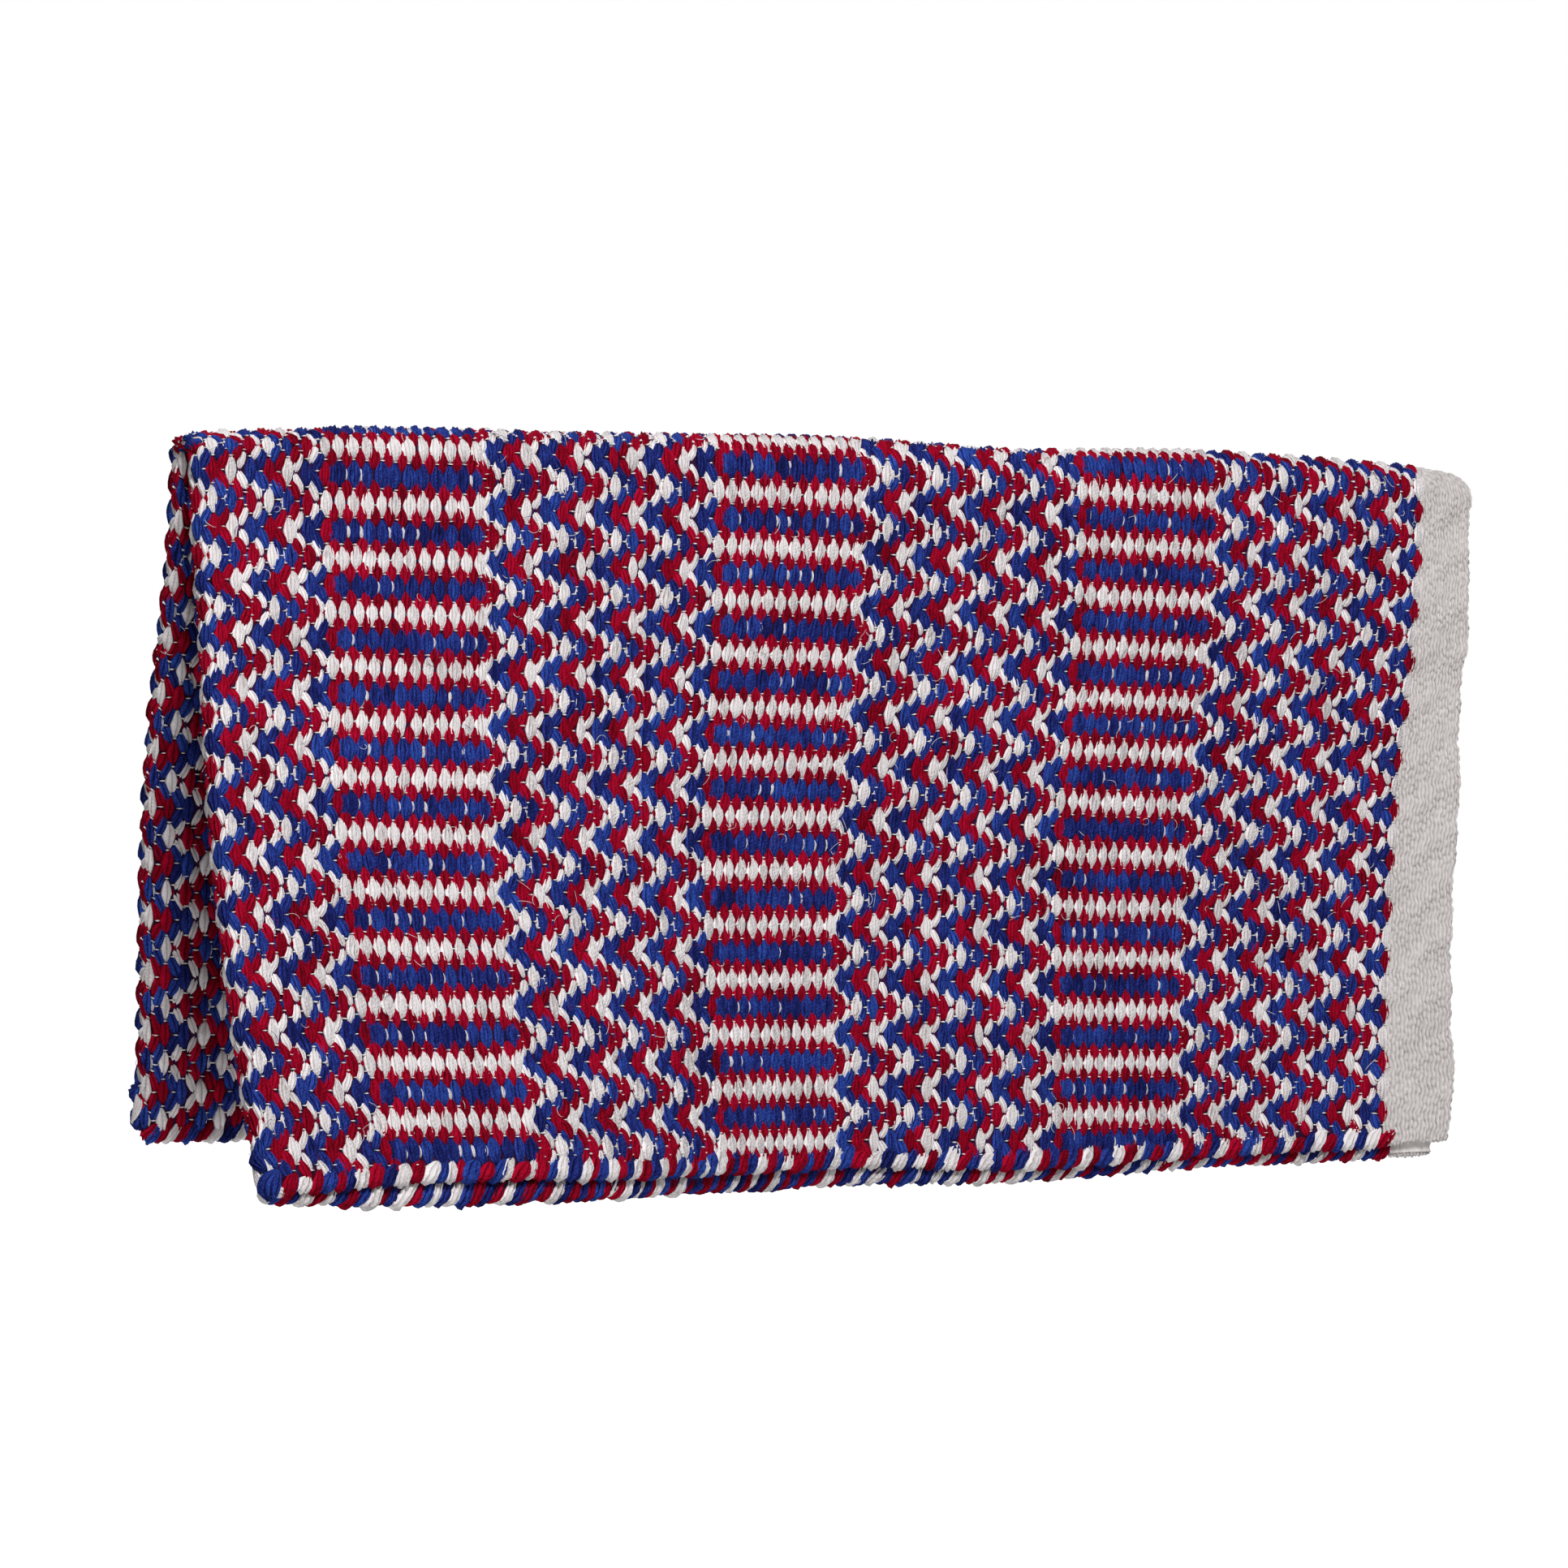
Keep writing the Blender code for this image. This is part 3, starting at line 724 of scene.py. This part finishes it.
def weave_zigzag(start, blue_phase, row):
    """The full and slanted floats of one zigzag at one row, to the right of its ladder."""
    blue = (row - blue_phase) % 1 == 0
    order = (RED, WHITE, BLUE) if blue else (BLUE, RED, WHITE)
    for column in range(-1, ZIGZAG_COLUMNS):
        gap = ZIGZAG_STEP if column >= 0 else LADDER_STEP
        along = start + column * gap
        middle = along + gap / 2
        pinch, end = (middle + share * gap for share in (BLUE_ROW_ARM if blue else RED_ROW_ARM))
        if column >= 0:
            add_float(LONG, order[column % 3], along, row, 0, FULL)
            add_float(TICK, WHITE, along, row, LEVEL, WARP_TICK, sink=-TICK_RISE)
        if blue:
            colour = order[(column + 1) % 3]
        else:
            colour = order[column % 3] if column >= 0 else WHITE
            for way in (1, -1):
                level = way * TICK_LEVEL
                add_float(TICK, WHITE, end - TICK_SHIFT, row, level, WARP_TICK, sink=-TICK_RISE)
        arm, sink = (WHITE_ARM, WHITE_ARM_SINK) if colour == WHITE else (ARM, ARM_SINK)
        for way in (1, -1):
            tilt = math.atan2(pinch - end, ARM_REACH) * way
            level = way * (ARM_REACH / 2 + ARM_SHIFT)
            add_float(HALF, colour, (pinch + end) / 2, row, level, arm, tilt, sink)
        if colour != WHITE:
            add_float(TICK, WHITE, middle, row, 0, WARP_TICK, sink=-MIDDLE_TICK_RISE)
        if blue and column >= 0:
            peek, size = ARM_PEEKS[colour]
            place = middle + ARM_PEEK_PLACE * gap
            add_float(HALF, peek, place, row, 0, size, sink=FILLER_SINK)


UNITS = range(-3, 5)
HALF_ROWS = range(-28, 30)
for unit in UNITS:
    phase = 0.0 if unit % 2 else 0.5
    ladder = FIRST_LADDER + (unit - 1) * UNIT
    for half_row in HALF_ROWS:
        weave_ladder(ladder, phase, half_row / 2)
        weave_zigzag(ladder + LADDER_COLUMNS * LADDER_STEP, phase, half_row / 2)

# For each cotton, the groove amount sets how strongly painted shade darkens its creases and bundle
# tips, and the colour after it is that shade.
red_cotton = cotton(
    "red_cotton",
    shades=((0.095, 0.0005, 0.006), (0.27, 0.001, 0.014), (0.45, 0.003, 0.030)),
    groove=0.78, crease_shade_colour=(0.14, 0.06, 0.10),
)
blue_cotton = cotton(
    "blue_cotton",
    shades=((0.005, 0.007, 0.052), (0.016, 0.023, 0.172), (0.030, 0.086, 0.42)),
    groove=0.90, crease_shade_colour=(0.08, 0.08, 0.14),
)
white_cotton = cotton(
    "white_cotton",
    shades=((0.52, 0.475, 0.475), (0.785, 0.735, 0.745), (0.86, 0.82, 0.825)),
    groove=0.62, crease_shade_colour=(0.36, 0.32, 0.31),
)
warp_cotton = cotton(
    "warp_cotton",
    shades=((0.70, 0.68, 0.66), (0.78, 0.76, 0.74), (0.82, 0.80, 0.78)),
    groove=0.0,
)
COTTONS = ((RED, "red", red_cotton), (BLUE, "blue", blue_cotton), (WHITE, "white", white_cotton))
bundles = {
    "outer": {
        RUNG: bundle_kinds("rung", 6, 4, 2.0, crease=0.54),
        LONG: bundle_kinds("long_float", 6, 4, 1.7, crease=0.54),
        FILL: bundle_kinds("rung_filler", 6, 3, 1.6, crease=0.50),
        HALF: bundle_kinds("half_float", 5, 3, 2.4, crease=0.34),
        TICK: bundle_kinds("warp_tick", 3, 1, 5.0),
    },
    "inner": {
        RUNG: bundle_kinds("hidden_rung", 4, 2, 1.9),
        LONG: bundle_kinds("hidden_long_float", 4, 2, 1.8),
        FILL: bundle_kinds("hidden_rung_filler", 4, 2, 1.7),
        HALF: bundle_kinds("hidden_half_float", 4, 2, 3.2),
        TICK: bundle_kinds("hidden_warp_tick", 3, 1, 5.0),
    },
}
UNEVEN = 0.08
WARP_UNEVEN = 0.2
WARP_SEED = 31
on_the_cloth = {"near": [], "far": []}
for half in ("near", "far"):
    for ply in ("outer", "inner"):
        for index, word, dyed in COTTONS:
            name = f"{half}_{ply}_{word}_weft"
            made = []
            for kind in (RUNG, LONG, FILL, HALF):
                if (half, ply, index, kind) in floats:
                    places, seed = floats[half, ply, index, kind], 10 * kind + index
                    made.append(lay_bundles(name, places, bundles[ply][kind], dyed, seed, UNEVEN))
            piece = hang_piece(name, join_meshes(made, name))
            on_the_cloth[half].append(piece)
        name = f"{half}_{ply}_warp_ticks"
        ticks = floats[half, ply, WHITE, TICK]
        mesh = lay_bundles(name, ticks, bundles[ply][TICK], warp_cotton, WARP_SEED, WARP_UNEVEN)
        on_the_cloth[half].append(hang_piece(name, mesh))


# The headers: a plain band of off-white weft across each end of the cloth.
# They are packed tight in small upright floats, with a soft uneven edge, and the two ends
# lie on each other at the right, the inner one a little short of the outer one.

EDGE_SHARES = (0.0, 0.15, 0.28, 0.36, 0.52, 0.67, 0.83, 0.93, 1.0)
EDGE_SWELLS = (0.0050, 0.0030, 0.0040, 0.0015, 0.0062, 0.0030, 0.0020, 0.0030, -0.0025)
EDGE_WAVES = ((0.0007, 150, 1.0), (0.0005, 410, 0), (0.0004, 1120, 0))
EDGE_WAVE_WIDTH = 0.008
EDGE_DROP = 0.0024
EDGE_ROUND = 0.0030
HEADER_SETBACK = 0.012
HEADER_TOP = -0.0002
HEADER_RIB = 0.0020
RIB_WAVES = ((0.22, 290, 90), (0.20, 640, -210))
HEADER_FLOAT = 0.0050
COLUMN_SHIFT = 3.7
COLUMN_BEAT = 12.99
PROUD_SHARE = 0.24
PROUD_BEATS = (91.7, 37.3)
SIDE_CURVE = 2.5
SIDE_FALL = 0.50
CORNER_FALL = 0.30
END_FALL = 0.50
LONG_SWELL = (0.35, 190, 3, 120)
SHORT_SWELL = (0.25, 410, 300)
HEADER_RELIEF = 0.0026
HEADER_SWELL = 0.0005
HEADER_BACK = 0.0062
HEADER_COLUMN = 0.0005
HEADER_ROW = 0.0012
HEM_ROWS = 8
BACK_SHADE = 0.8


def header_lift(along, across):
    """The little upright floats of a header, side by side, with no two columns in step."""
    rib = along / HEADER_RIB
    for reach, by_across, by_along in RIB_WAVES:
        rib = rib + reach * np.sin(across * by_across + along * by_along)
    column = np.floor(rib)
    place = across / HEADER_FLOAT + COLUMN_SHIFT * np.sin(column * COLUMN_BEAT)
    proud = 0.5 + 0.5 * np.sin(column * PROUD_BEATS[0] + np.floor(place) * PROUD_BEATS[1])
    side = np.abs(rib - column - 0.5) * 2
    end = np.abs(place - np.floor(place) - 0.5) * 2
    full = 1 - side ** SIDE_CURVE * (SIDE_FALL + CORNER_FALL * end ** 2)
    full *= 1 - END_FALL * end ** 4
    full *= 1 - PROUD_SHARE + PROUD_SHARE * proud
    reach, pace, sway, by_along = LONG_SWELL
    swell = reach * np.sin(across * pace + sway * np.sin(along * by_along))
    reach, pace, by_along = SHORT_SWELL
    swell += reach * np.sin(across * pace + along * by_along)
    return HEADER_TOP - HEADER_RELIEF * (1 - full) + HEADER_SWELL * swell


def header_mesh(name, inner_edge, outer_edge, hem):
    """A closed slab of one header with floats on its face, turned round the hem, with the depth of
    its recesses kept on the points for painted shade.
    """
    way = 1 if outer_edge > inner_edge else -1
    columns = round(abs(outer_edge - inner_edge) / HEADER_COLUMN)
    alongs = np.linspace(inner_edge, outer_edge, columns + 1)
    down = 1 if float(hem(inner_edge)) > 0 else -1
    hems = hem(alongs)
    rows = round(abs(float(hem(inner_edge)) + CREST_ARC) / HEADER_ROW)
    shares = np.linspace(0, 1, rows + 1)
    acrosses = -CREST_ARC + shares[:, None] * (hems + CREST_ARC)[None, :]
    round_the_hem = hems[None, :] + down * np.linspace(0, HEM_ARC, HEM_ROWS + 1)[1:, None]
    acrosses = np.concatenate([acrosses, round_the_hem])
    grid = np.broadcast_to(alongs, acrosses.shape).copy()
    lift = header_lift(grid, acrosses)
    depth = np.clip(1 + (lift - HEADER_TOP) / HEADER_RELIEF, 0, 1)
    to_edge = np.abs(outer_edge - grid)
    rounded = np.clip(1 - (1 - to_edge / EDGE_ROUND).clip(0, 1) ** 2, 0, 1)
    lift -= EDGE_DROP * (1 - np.sqrt(rounded))
    wave = sum(reach * np.sin(acrosses * pace + start) for reach, pace, start in EDGE_WAVES)
    grid += way * wave * (1 - to_edge / EDGE_WAVE_WIDTH).clip(0, 1)
    if way > 0:
        down_share = np.abs(acrosses + CREST_ARC) / (abs(float(hem(inner_edge))) + CREST_ARC)
        swells = through(EDGE_SHARES, EDGE_SWELLS, down_share)
        grid += swells * (1 - to_edge / HEADER_WIDTH).clip(0, 1)
        grid += header_pull(grid, acrosses) * (to_edge / abs(outer_edge - inner_edge)).clip(0, 1)
    bm = bmesh.new()
    top = [[bm.verts.new(p) for p in zip(*line)] for line in zip(grid, acrosses, lift)]
    back = [
        [bm.verts.new((grid[k, c], acrosses[k, c], -HEADER_BACK)) for c in (0, columns)]
        for k in range(rows + 1)
    ]
    last = rows + HEM_ROWS
    for k in range(last):
        for c in range(columns):
            bm.faces.new((top[k][c], top[k][c + 1], top[k + 1][c + 1], top[k + 1][c]))
    for k in range(rows):
        bm.faces.new((back[k][0], back[k + 1][0], back[k + 1][1], back[k][1]))
        bm.faces.new((top[k][0], top[k + 1][0], back[k + 1][0], back[k][0]))
        bm.faces.new((top[k][columns], back[k][1], back[k + 1][1], top[k + 1][columns]))
    bm.faces.new([back[0][0], back[0][1], *top[0][::-1]])
    bm.faces.new([back[rows][1], back[rows][0], *top[last]])
    bm.faces.new([top[k][0] for k in range(rows, last + 1)] + [back[rows][0]])
    bm.faces.new([back[rows][1]] + [top[k][columns] for k in range(last, rows - 1, -1)])
    mesh = flat_cloth_mesh(bm, name)
    # Painted shade: each face point keeps how deep it lies below the float tops, and the header
    # cotton darkens the recesses by it; the back and sides get one fixed value.
    tuft_tone_and_recess_shade = mesh.attributes.new("tuft_tone_and_recess_shade", "FLOAT", "POINT")
    values = np.full(len(mesh.vertices), BACK_SHADE, np.float32)
    values[: depth.size] = depth.ravel()
    tuft_tone_and_recess_shade.data.foreach_set("value", values)
    return mesh


# The header cotton takes most of its tone from the depth of the recesses, as painted shade.
header_cotton = cotton(
    "header_cotton",
    shades=((0.27, 0.247, 0.240), (0.50, 0.465, 0.453), (0.630, 0.590, 0.578)),
    groove=0.0, by_tone_and_recess_shade=1.0, speckle=0.40,
)
for half, hem in HALVES:
    for ply, inner_edge, outer_edge in (
        ("outer", OUTER_END, OUTER_END + HEADER_WIDTH),
        ("inner", INNER_END, INNER_END - HEADER_WIDTH + HEADER_SETBACK),
    ):
        name = f"{half}_{ply}_header_cloth"
        mesh = header_mesh(name, inner_edge, outer_edge, hem)
        mesh.materials.append(header_cotton)
        piece = hang_piece(name, mesh)
        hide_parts(f"{half}_{ply}_header", f"crown_{ply}_header")
        on_the_cloth[half].append(piece)


# The selvedges: along both long sides the wefts turn back round the edge of the cloth.
# Each turn is a thick slanted wrap of soft strands, in the three colours as they come.

WRAP_MARGINS = (0.002, 0.003)
WRAP_STEP = 0.0064
WRAP_STEPS = {"outer": (0.65, 1.50), "inner": (0.75, 1.15)}
WRAP_OVERLAP = 1.17
WRAPS = {"outer": (0.0225, 0.0054, 0.0010, 0.40), "inner": (0.0440, 0.0050, 0.0095, 0.52)}
WRAP_COLOURS = (0.41, 0.33, 0.26)
WRAP_STRAY = 0.0008
SLANT_STRAY = 0.12
REACH_STRAY = 0.07
RISE_STRAY = 0.12
WRAP_SEED = 50
CORNER_GAP = (-0.0060, 0.0060)
wrap_bundles = {
    "outer": bundle_kinds("hem_wrap", 12, 3, 3.0, bow=0.25),
    "inner": bundle_kinds("hidden_hem_wrap", 24, 3, 4.0, bow=0.12, crease=0.36),
}
wraps = {}
for half, hem, down in (("near", near_hem, 1), ("far", far_hem, -1)):
    along = INNER_END + WRAP_MARGINS[0]
    last_colour = None
    while along < OUTER_END - WRAP_MARGINS[1]:
        ply = "outer" if along > -FOLD_ARC / 2 else "inner"
        colour = int(dice.choice((RED, BLUE, WHITE), p=WRAP_COLOURS))
        if colour == last_colour:
            colour = (colour + 1) % 3
        last_colour = colour
        step = WRAP_STEP * dice.uniform(*WRAP_STEPS[ply])
        reach, rise, beyond, slant = WRAPS[ply]
        across = float(hem(along)) + down * (beyond + dice.normal(0, WRAP_STRAY))
        slant += dice.normal(0, SLANT_STRAY) + (0 if down > 0 else math.pi)
        reach *= 1 + dice.normal(0, REACH_STRAY)
        rise *= 1 + dice.normal(0, RISE_STRAY)
        middle = along + step / 2
        if not CORNER_GAP[0] < middle < CORNER_GAP[1]:
            wraps.setdefault((half, colour, ply), []).append(
                (middle, across, -FLOAT_BED, 0, 0, slant, WRAP_OVERLAP * step, reach, rise)
            )
        along += step
    for index, word, dyed in COTTONS:
        name = f"{half}_selvedge_{word}_wraps"
        made = []
        for ply in ("outer", "inner"):
            places, seed = wraps[half, index, ply], WRAP_SEED + index
            made.append(lay_bundles(name, places, wrap_bundles[ply], dyed, seed, UNEVEN))
        piece = hang_piece(name, join_meshes(made, name))
        on_the_cloth[half].append(piece)
        if index == RED:
            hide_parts(f"{half}_outer_selvedge", f"{half}_inner_selvedge")


# The corner loops: where the turned fold meets the hems and the crest, the wefts turn loosely.
# Each corner of the near flap has a fat blue loop, and thin white strands run round it.

CORNER_LOOPS = (
    (BLUE, -0.0025, -0.0010, 0.30, (0.0115, 0.0200, 0.0072)),
    (BLUE, -0.0075, -0.0150, -0.35, (0.0080, 0.0150, 0.0052)),
    (RED, 0.0080, 0.0010, 0.35, (0.0082, 0.0190, 0.0056)),
)
LOOP_LIFT = 0.0018
CREST_LOOPS = (
    (BLUE, -0.0075, -0.0070, 1.15, (0.0088, 0.0150, 0.0052)),
    (RED, -0.0150, -0.0040, 0.80, (0.0080, 0.0140, 0.0048)),
)
CREST_LOOP_LIFT = 0.0010
LOOP_SEED = 60
STRANDS = 4
STRAND_POINTS = 15
STRAND_THICKNESS = 0.0017
STRAND_START = (-0.0155, -0.0170)
STRAND_SHIFT = 0.0014
STRAND_REACH = (0.0270, 0.0242)
STRAND_SHRINK = (0.0030, 0.0018)
STRAND_LIFT = 0.0006
STRAND_SINK = 0.0002
ASKEW = (0.13, 0.21, 1.0)


def strand_mesh(name, paths, thickness, sides):
    """Thin closed strands that follow paths laid out on the flat cloth."""
    verts, faces = [], []
    for path in paths:
        path = np.array(path, float)
        way = np.gradient(path, axis=0)
        way /= np.linalg.norm(way, axis=1, keepdims=True)
        side = np.cross(way, ASKEW)
        side /= np.linalg.norm(side, axis=1, keepdims=True)
        over = np.cross(side, way)
        start = len(verts)
        for k, point in enumerate(path):
            radius = thickness / 2 * (0.5 if k in (0, len(path) - 1) else 1)
            for n in range(sides):
                turn = 2 * math.pi * n / sides
                rim = math.cos(turn) * side[k] + math.sin(turn) * over[k]
                verts.append(point + radius * rim)
        for k in range(len(path) - 1):
            ring = start + k * sides
            for n in range(sides):
                m = (n + 1) % sides
                faces.append((ring + n, ring + m, ring + sides + m, ring + sides + n))
        faces.append(tuple(range(start, start + sides))[::-1])
        faces.append(tuple(range(len(verts) - sides, len(verts))))
    mesh = bpy.data.meshes.new(name)
    mesh.from_pydata([tuple(v) for v in verts], [], faces)
    bm = bmesh.new()
    bm.from_mesh(mesh)
    bmesh.ops.recalc_face_normals(bm, faces=bm.faces)
    layer = bm.loops.layers.uv.new("UVMap")
    for face in bm.faces:
        face.smooth = True
        for loop in face.loops:
            loop[layer].uv = (0.5, 0.5)
    bm.to_mesh(mesh)
    bm.free()
    return mesh


loop_bundles = bundle_kinds("corner_loop", 9, 5, 2.6, bow=0.30)
for half, hem, down in (("near", near_hem, 1), ("far", far_hem, -1)):
    loops = {}
    for colour, along, above, slant, size in CORNER_LOOPS:
        across = float(hem(along)) + down * above
        turn = slant if down > 0 else math.pi - slant
        lift = -FLOAT_BED + LOOP_LIFT
        loops.setdefault(colour, []).append((along, across, lift, 0, 0, turn, *size))
    if half == "near":
        for colour, along, across, slant, size in CREST_LOOPS:
            lift = -FLOAT_BED + CREST_LOOP_LIFT
            loops.setdefault(colour, []).append((along, across, lift, 0, 0, slant, *size))
    for index, word, dyed in COTTONS[:2]:
        name = f"{half}_corner_{word}_loops"
        mesh = lay_bundles(name, loops[index], loop_bundles, dyed, LOOP_SEED + index, 0.0)
        on_the_cloth[half].append(hang_piece(name, mesh))
    paths = []
    for k in range(STRANDS):
        turn = np.linspace(0, math.pi / 2, STRAND_POINTS)
        reach, rise = (size - k * less for size, less in zip(STRAND_REACH, STRAND_SHRINK))
        along = STRAND_START[0] + STRAND_SHIFT * k + reach * (1 - np.cos(turn))
        above = STRAND_START[1] + rise * np.sin(turn)
        lift = STRAND_LIFT + STRAND_LIFT * np.sin(2 * turn) - STRAND_SINK * k
        paths.append(np.stack([along, hem(along) + down * above, lift], axis=1))
    name = f"{half}_corner_white_strands"
    mesh = strand_mesh(name, paths, STRAND_THICKNESS, 6)
    mesh.materials.append(white_cotton)
    on_the_cloth[half].append(hang_piece(name, mesh))


# The stray fibres: fine ends of the cotton wefts that have worked loose with use.
# They stand off both faces in short curls, most of them white, and are held by the weave.

FIBRE_COUNT = {"near": 560, "far": 500}
FIBRE_COLOURS = (0.30, 0.18, 0.52)
FIBRE_THICKNESS = 0.00028
FIBRE_LENGTHS = (0.004, 0.010)
FIBRE_POINTS = 10
FIBRE_CURL = 2.3
FIBRE_FOOT = 0.0004
FIBRE_RISE = 0.0016
FIBRE_RISES = (0.3, 1.2)
FIBRE_BAND = (0.02, 0.98)
INNER_SHARE = 0.3
for half, hem in HALVES:
    curls = {RED: [], BLUE: [], WHITE: []}
    for _ in range(FIBRE_COUNT[half]):
        anywhere = dice.random() < INNER_SHARE
        along = dice.uniform(INNER_END if anywhere else -FOLD_ARC, OUTER_END)
        end = float(hem(along))
        across = -CREST_ARC + (end + CREST_ARC) * dice.uniform(*FIBRE_BAND)
        share = np.linspace(0, 1, FIBRE_POINTS)
        step = dice.uniform(*FIBRE_LENGTHS) / (FIBRE_POINTS - 1)
        heading = dice.uniform(0, 2 * math.pi)
        bearing = heading + dice.normal(0, FIBRE_CURL) * share
        colour = int(dice.choice((RED, BLUE, WHITE), p=FIBRE_COLOURS))
        curls[colour].append(np.stack([
            along + np.cumsum(np.cos(bearing)) * step,
            across + np.cumsum(np.sin(bearing)) * step,
            FIBRE_FOOT + FIBRE_RISE * np.sin(math.pi * share) * dice.uniform(*FIBRE_RISES),
        ], axis=1))
    for index, word, dyed in COTTONS:
        name = f"{half}_stray_{word}_fibres"
        mesh = strand_mesh(name, curls[index], FIBRE_THICKNESS, 3)
        mesh.materials.append(dyed)
        on_the_cloth[half].append(hang_piece(name, mesh))


# The floor, the lights and the camera.
# A pale studio floor far below the rail, one wide soft light in front and one behind, and
# the photograph's view: level, from the left of the blanket's face, with a long lens.

FLOOR_SIZE = 30
FLOOR_HEIGHT = -0.95
FLOOR_GLOW = 0.80
SKY_LIGHT = 0.26
SKY_SEEN = 1.0
VIEW_TURN = 28.5
bpy.ops.mesh.primitive_plane_add(size=FLOOR_SIZE, location=(0, 0, FLOOR_HEIGHT))
floor = bpy.context.object
floor.name = "studio_floor"
paint = bpy.data.materials.new("pale_floor")
paint.use_nodes = True
paint_nodes = paint.node_tree.nodes
paint_links = paint.node_tree.links
matte = paint_nodes["Principled BSDF"]
matte.inputs["Base Color"].default_value = (0.85, 0.85, 0.85, 1)
matte.inputs["Roughness"].default_value = 0.9
glow = paint_nodes.new("ShaderNodeEmission")
rays = paint_nodes.new("ShaderNodeLightPath")
paint_links.new(rays.outputs["Is Camera Ray"], glow.inputs["Strength"])
both = paint_nodes.new("ShaderNodeAddShader")
paint_links.new(matte.outputs["BSDF"], both.inputs[0])
paint_links.new(glow.outputs["Emission"], both.inputs[1])
paint_links.new(both.outputs["Shader"], paint_nodes["Material Output"].inputs["Surface"])
glow.inputs["Color"].default_value = (FLOOR_GLOW, FLOOR_GLOW, FLOOR_GLOW, 1)
floor.data.materials.append(paint)

world = bpy.data.worlds.new("studio")
bpy.context.scene.world = world
world.use_nodes = True
sky_nodes = world.node_tree.nodes
sky_links = world.node_tree.links
sky = sky_nodes["Background"]
sky_rays = sky_nodes.new("ShaderNodeLightPath")
seen = sky_nodes.new("ShaderNodeMath")
seen.operation = "MAXIMUM"
sky_links.new(sky_rays.outputs["Is Camera Ray"], seen.inputs[0])
sky_links.new(sky_rays.outputs["Is Glossy Ray"], seen.inputs[1])
level = sky_nodes.new("ShaderNodeMapRange")
level.inputs["To Min"].default_value = SKY_LIGHT
level.inputs["To Max"].default_value = SKY_SEEN
sky_links.new(seen.outputs["Value"], level.inputs["Value"])
sky_links.new(level.outputs["Result"], sky.inputs["Strength"])
sky.inputs["Color"].default_value = (1, 1, 1, 1)


def softbox(name, place, aim, size, power):
    """A square soft light at a place, turned to what it lights."""
    lamp = bpy.data.lights.new(name, "AREA")
    lamp.shape = "SQUARE"
    lamp.size = size
    lamp.energy = power
    box = bpy.data.objects.new(name, lamp)
    bpy.context.scene.collection.objects.link(box)
    box.location = place
    way = Vector(aim) - Vector(place)
    box.rotation_euler = way.to_track_quat("-Z", "Y").to_euler()


softbox("key_light", place=(-0.75, -2.5, 1.9), aim=(0, 0, -0.15), size=1.0, power=122)
softbox("back_light", place=(0.9, 2.4, 1.3), aim=(0, 0, -0.2), size=1.6, power=50)

camera = bpy.data.objects.new("camera", bpy.data.cameras.new("camera"))
bpy.context.scene.collection.objects.link(camera)
camera.location = (-1.3404, -2.3799, -0.1745)
camera.rotation_euler = (math.radians(90), 0, math.radians(-VIEW_TURN))
camera.data.sensor_width = 36
camera.data.lens = 111.985
camera.data.clip_start = 0.05
camera.data.clip_end = 50
bpy.context.scene.camera = camera
bpy.context.scene.view_settings.view_transform = "Standard"
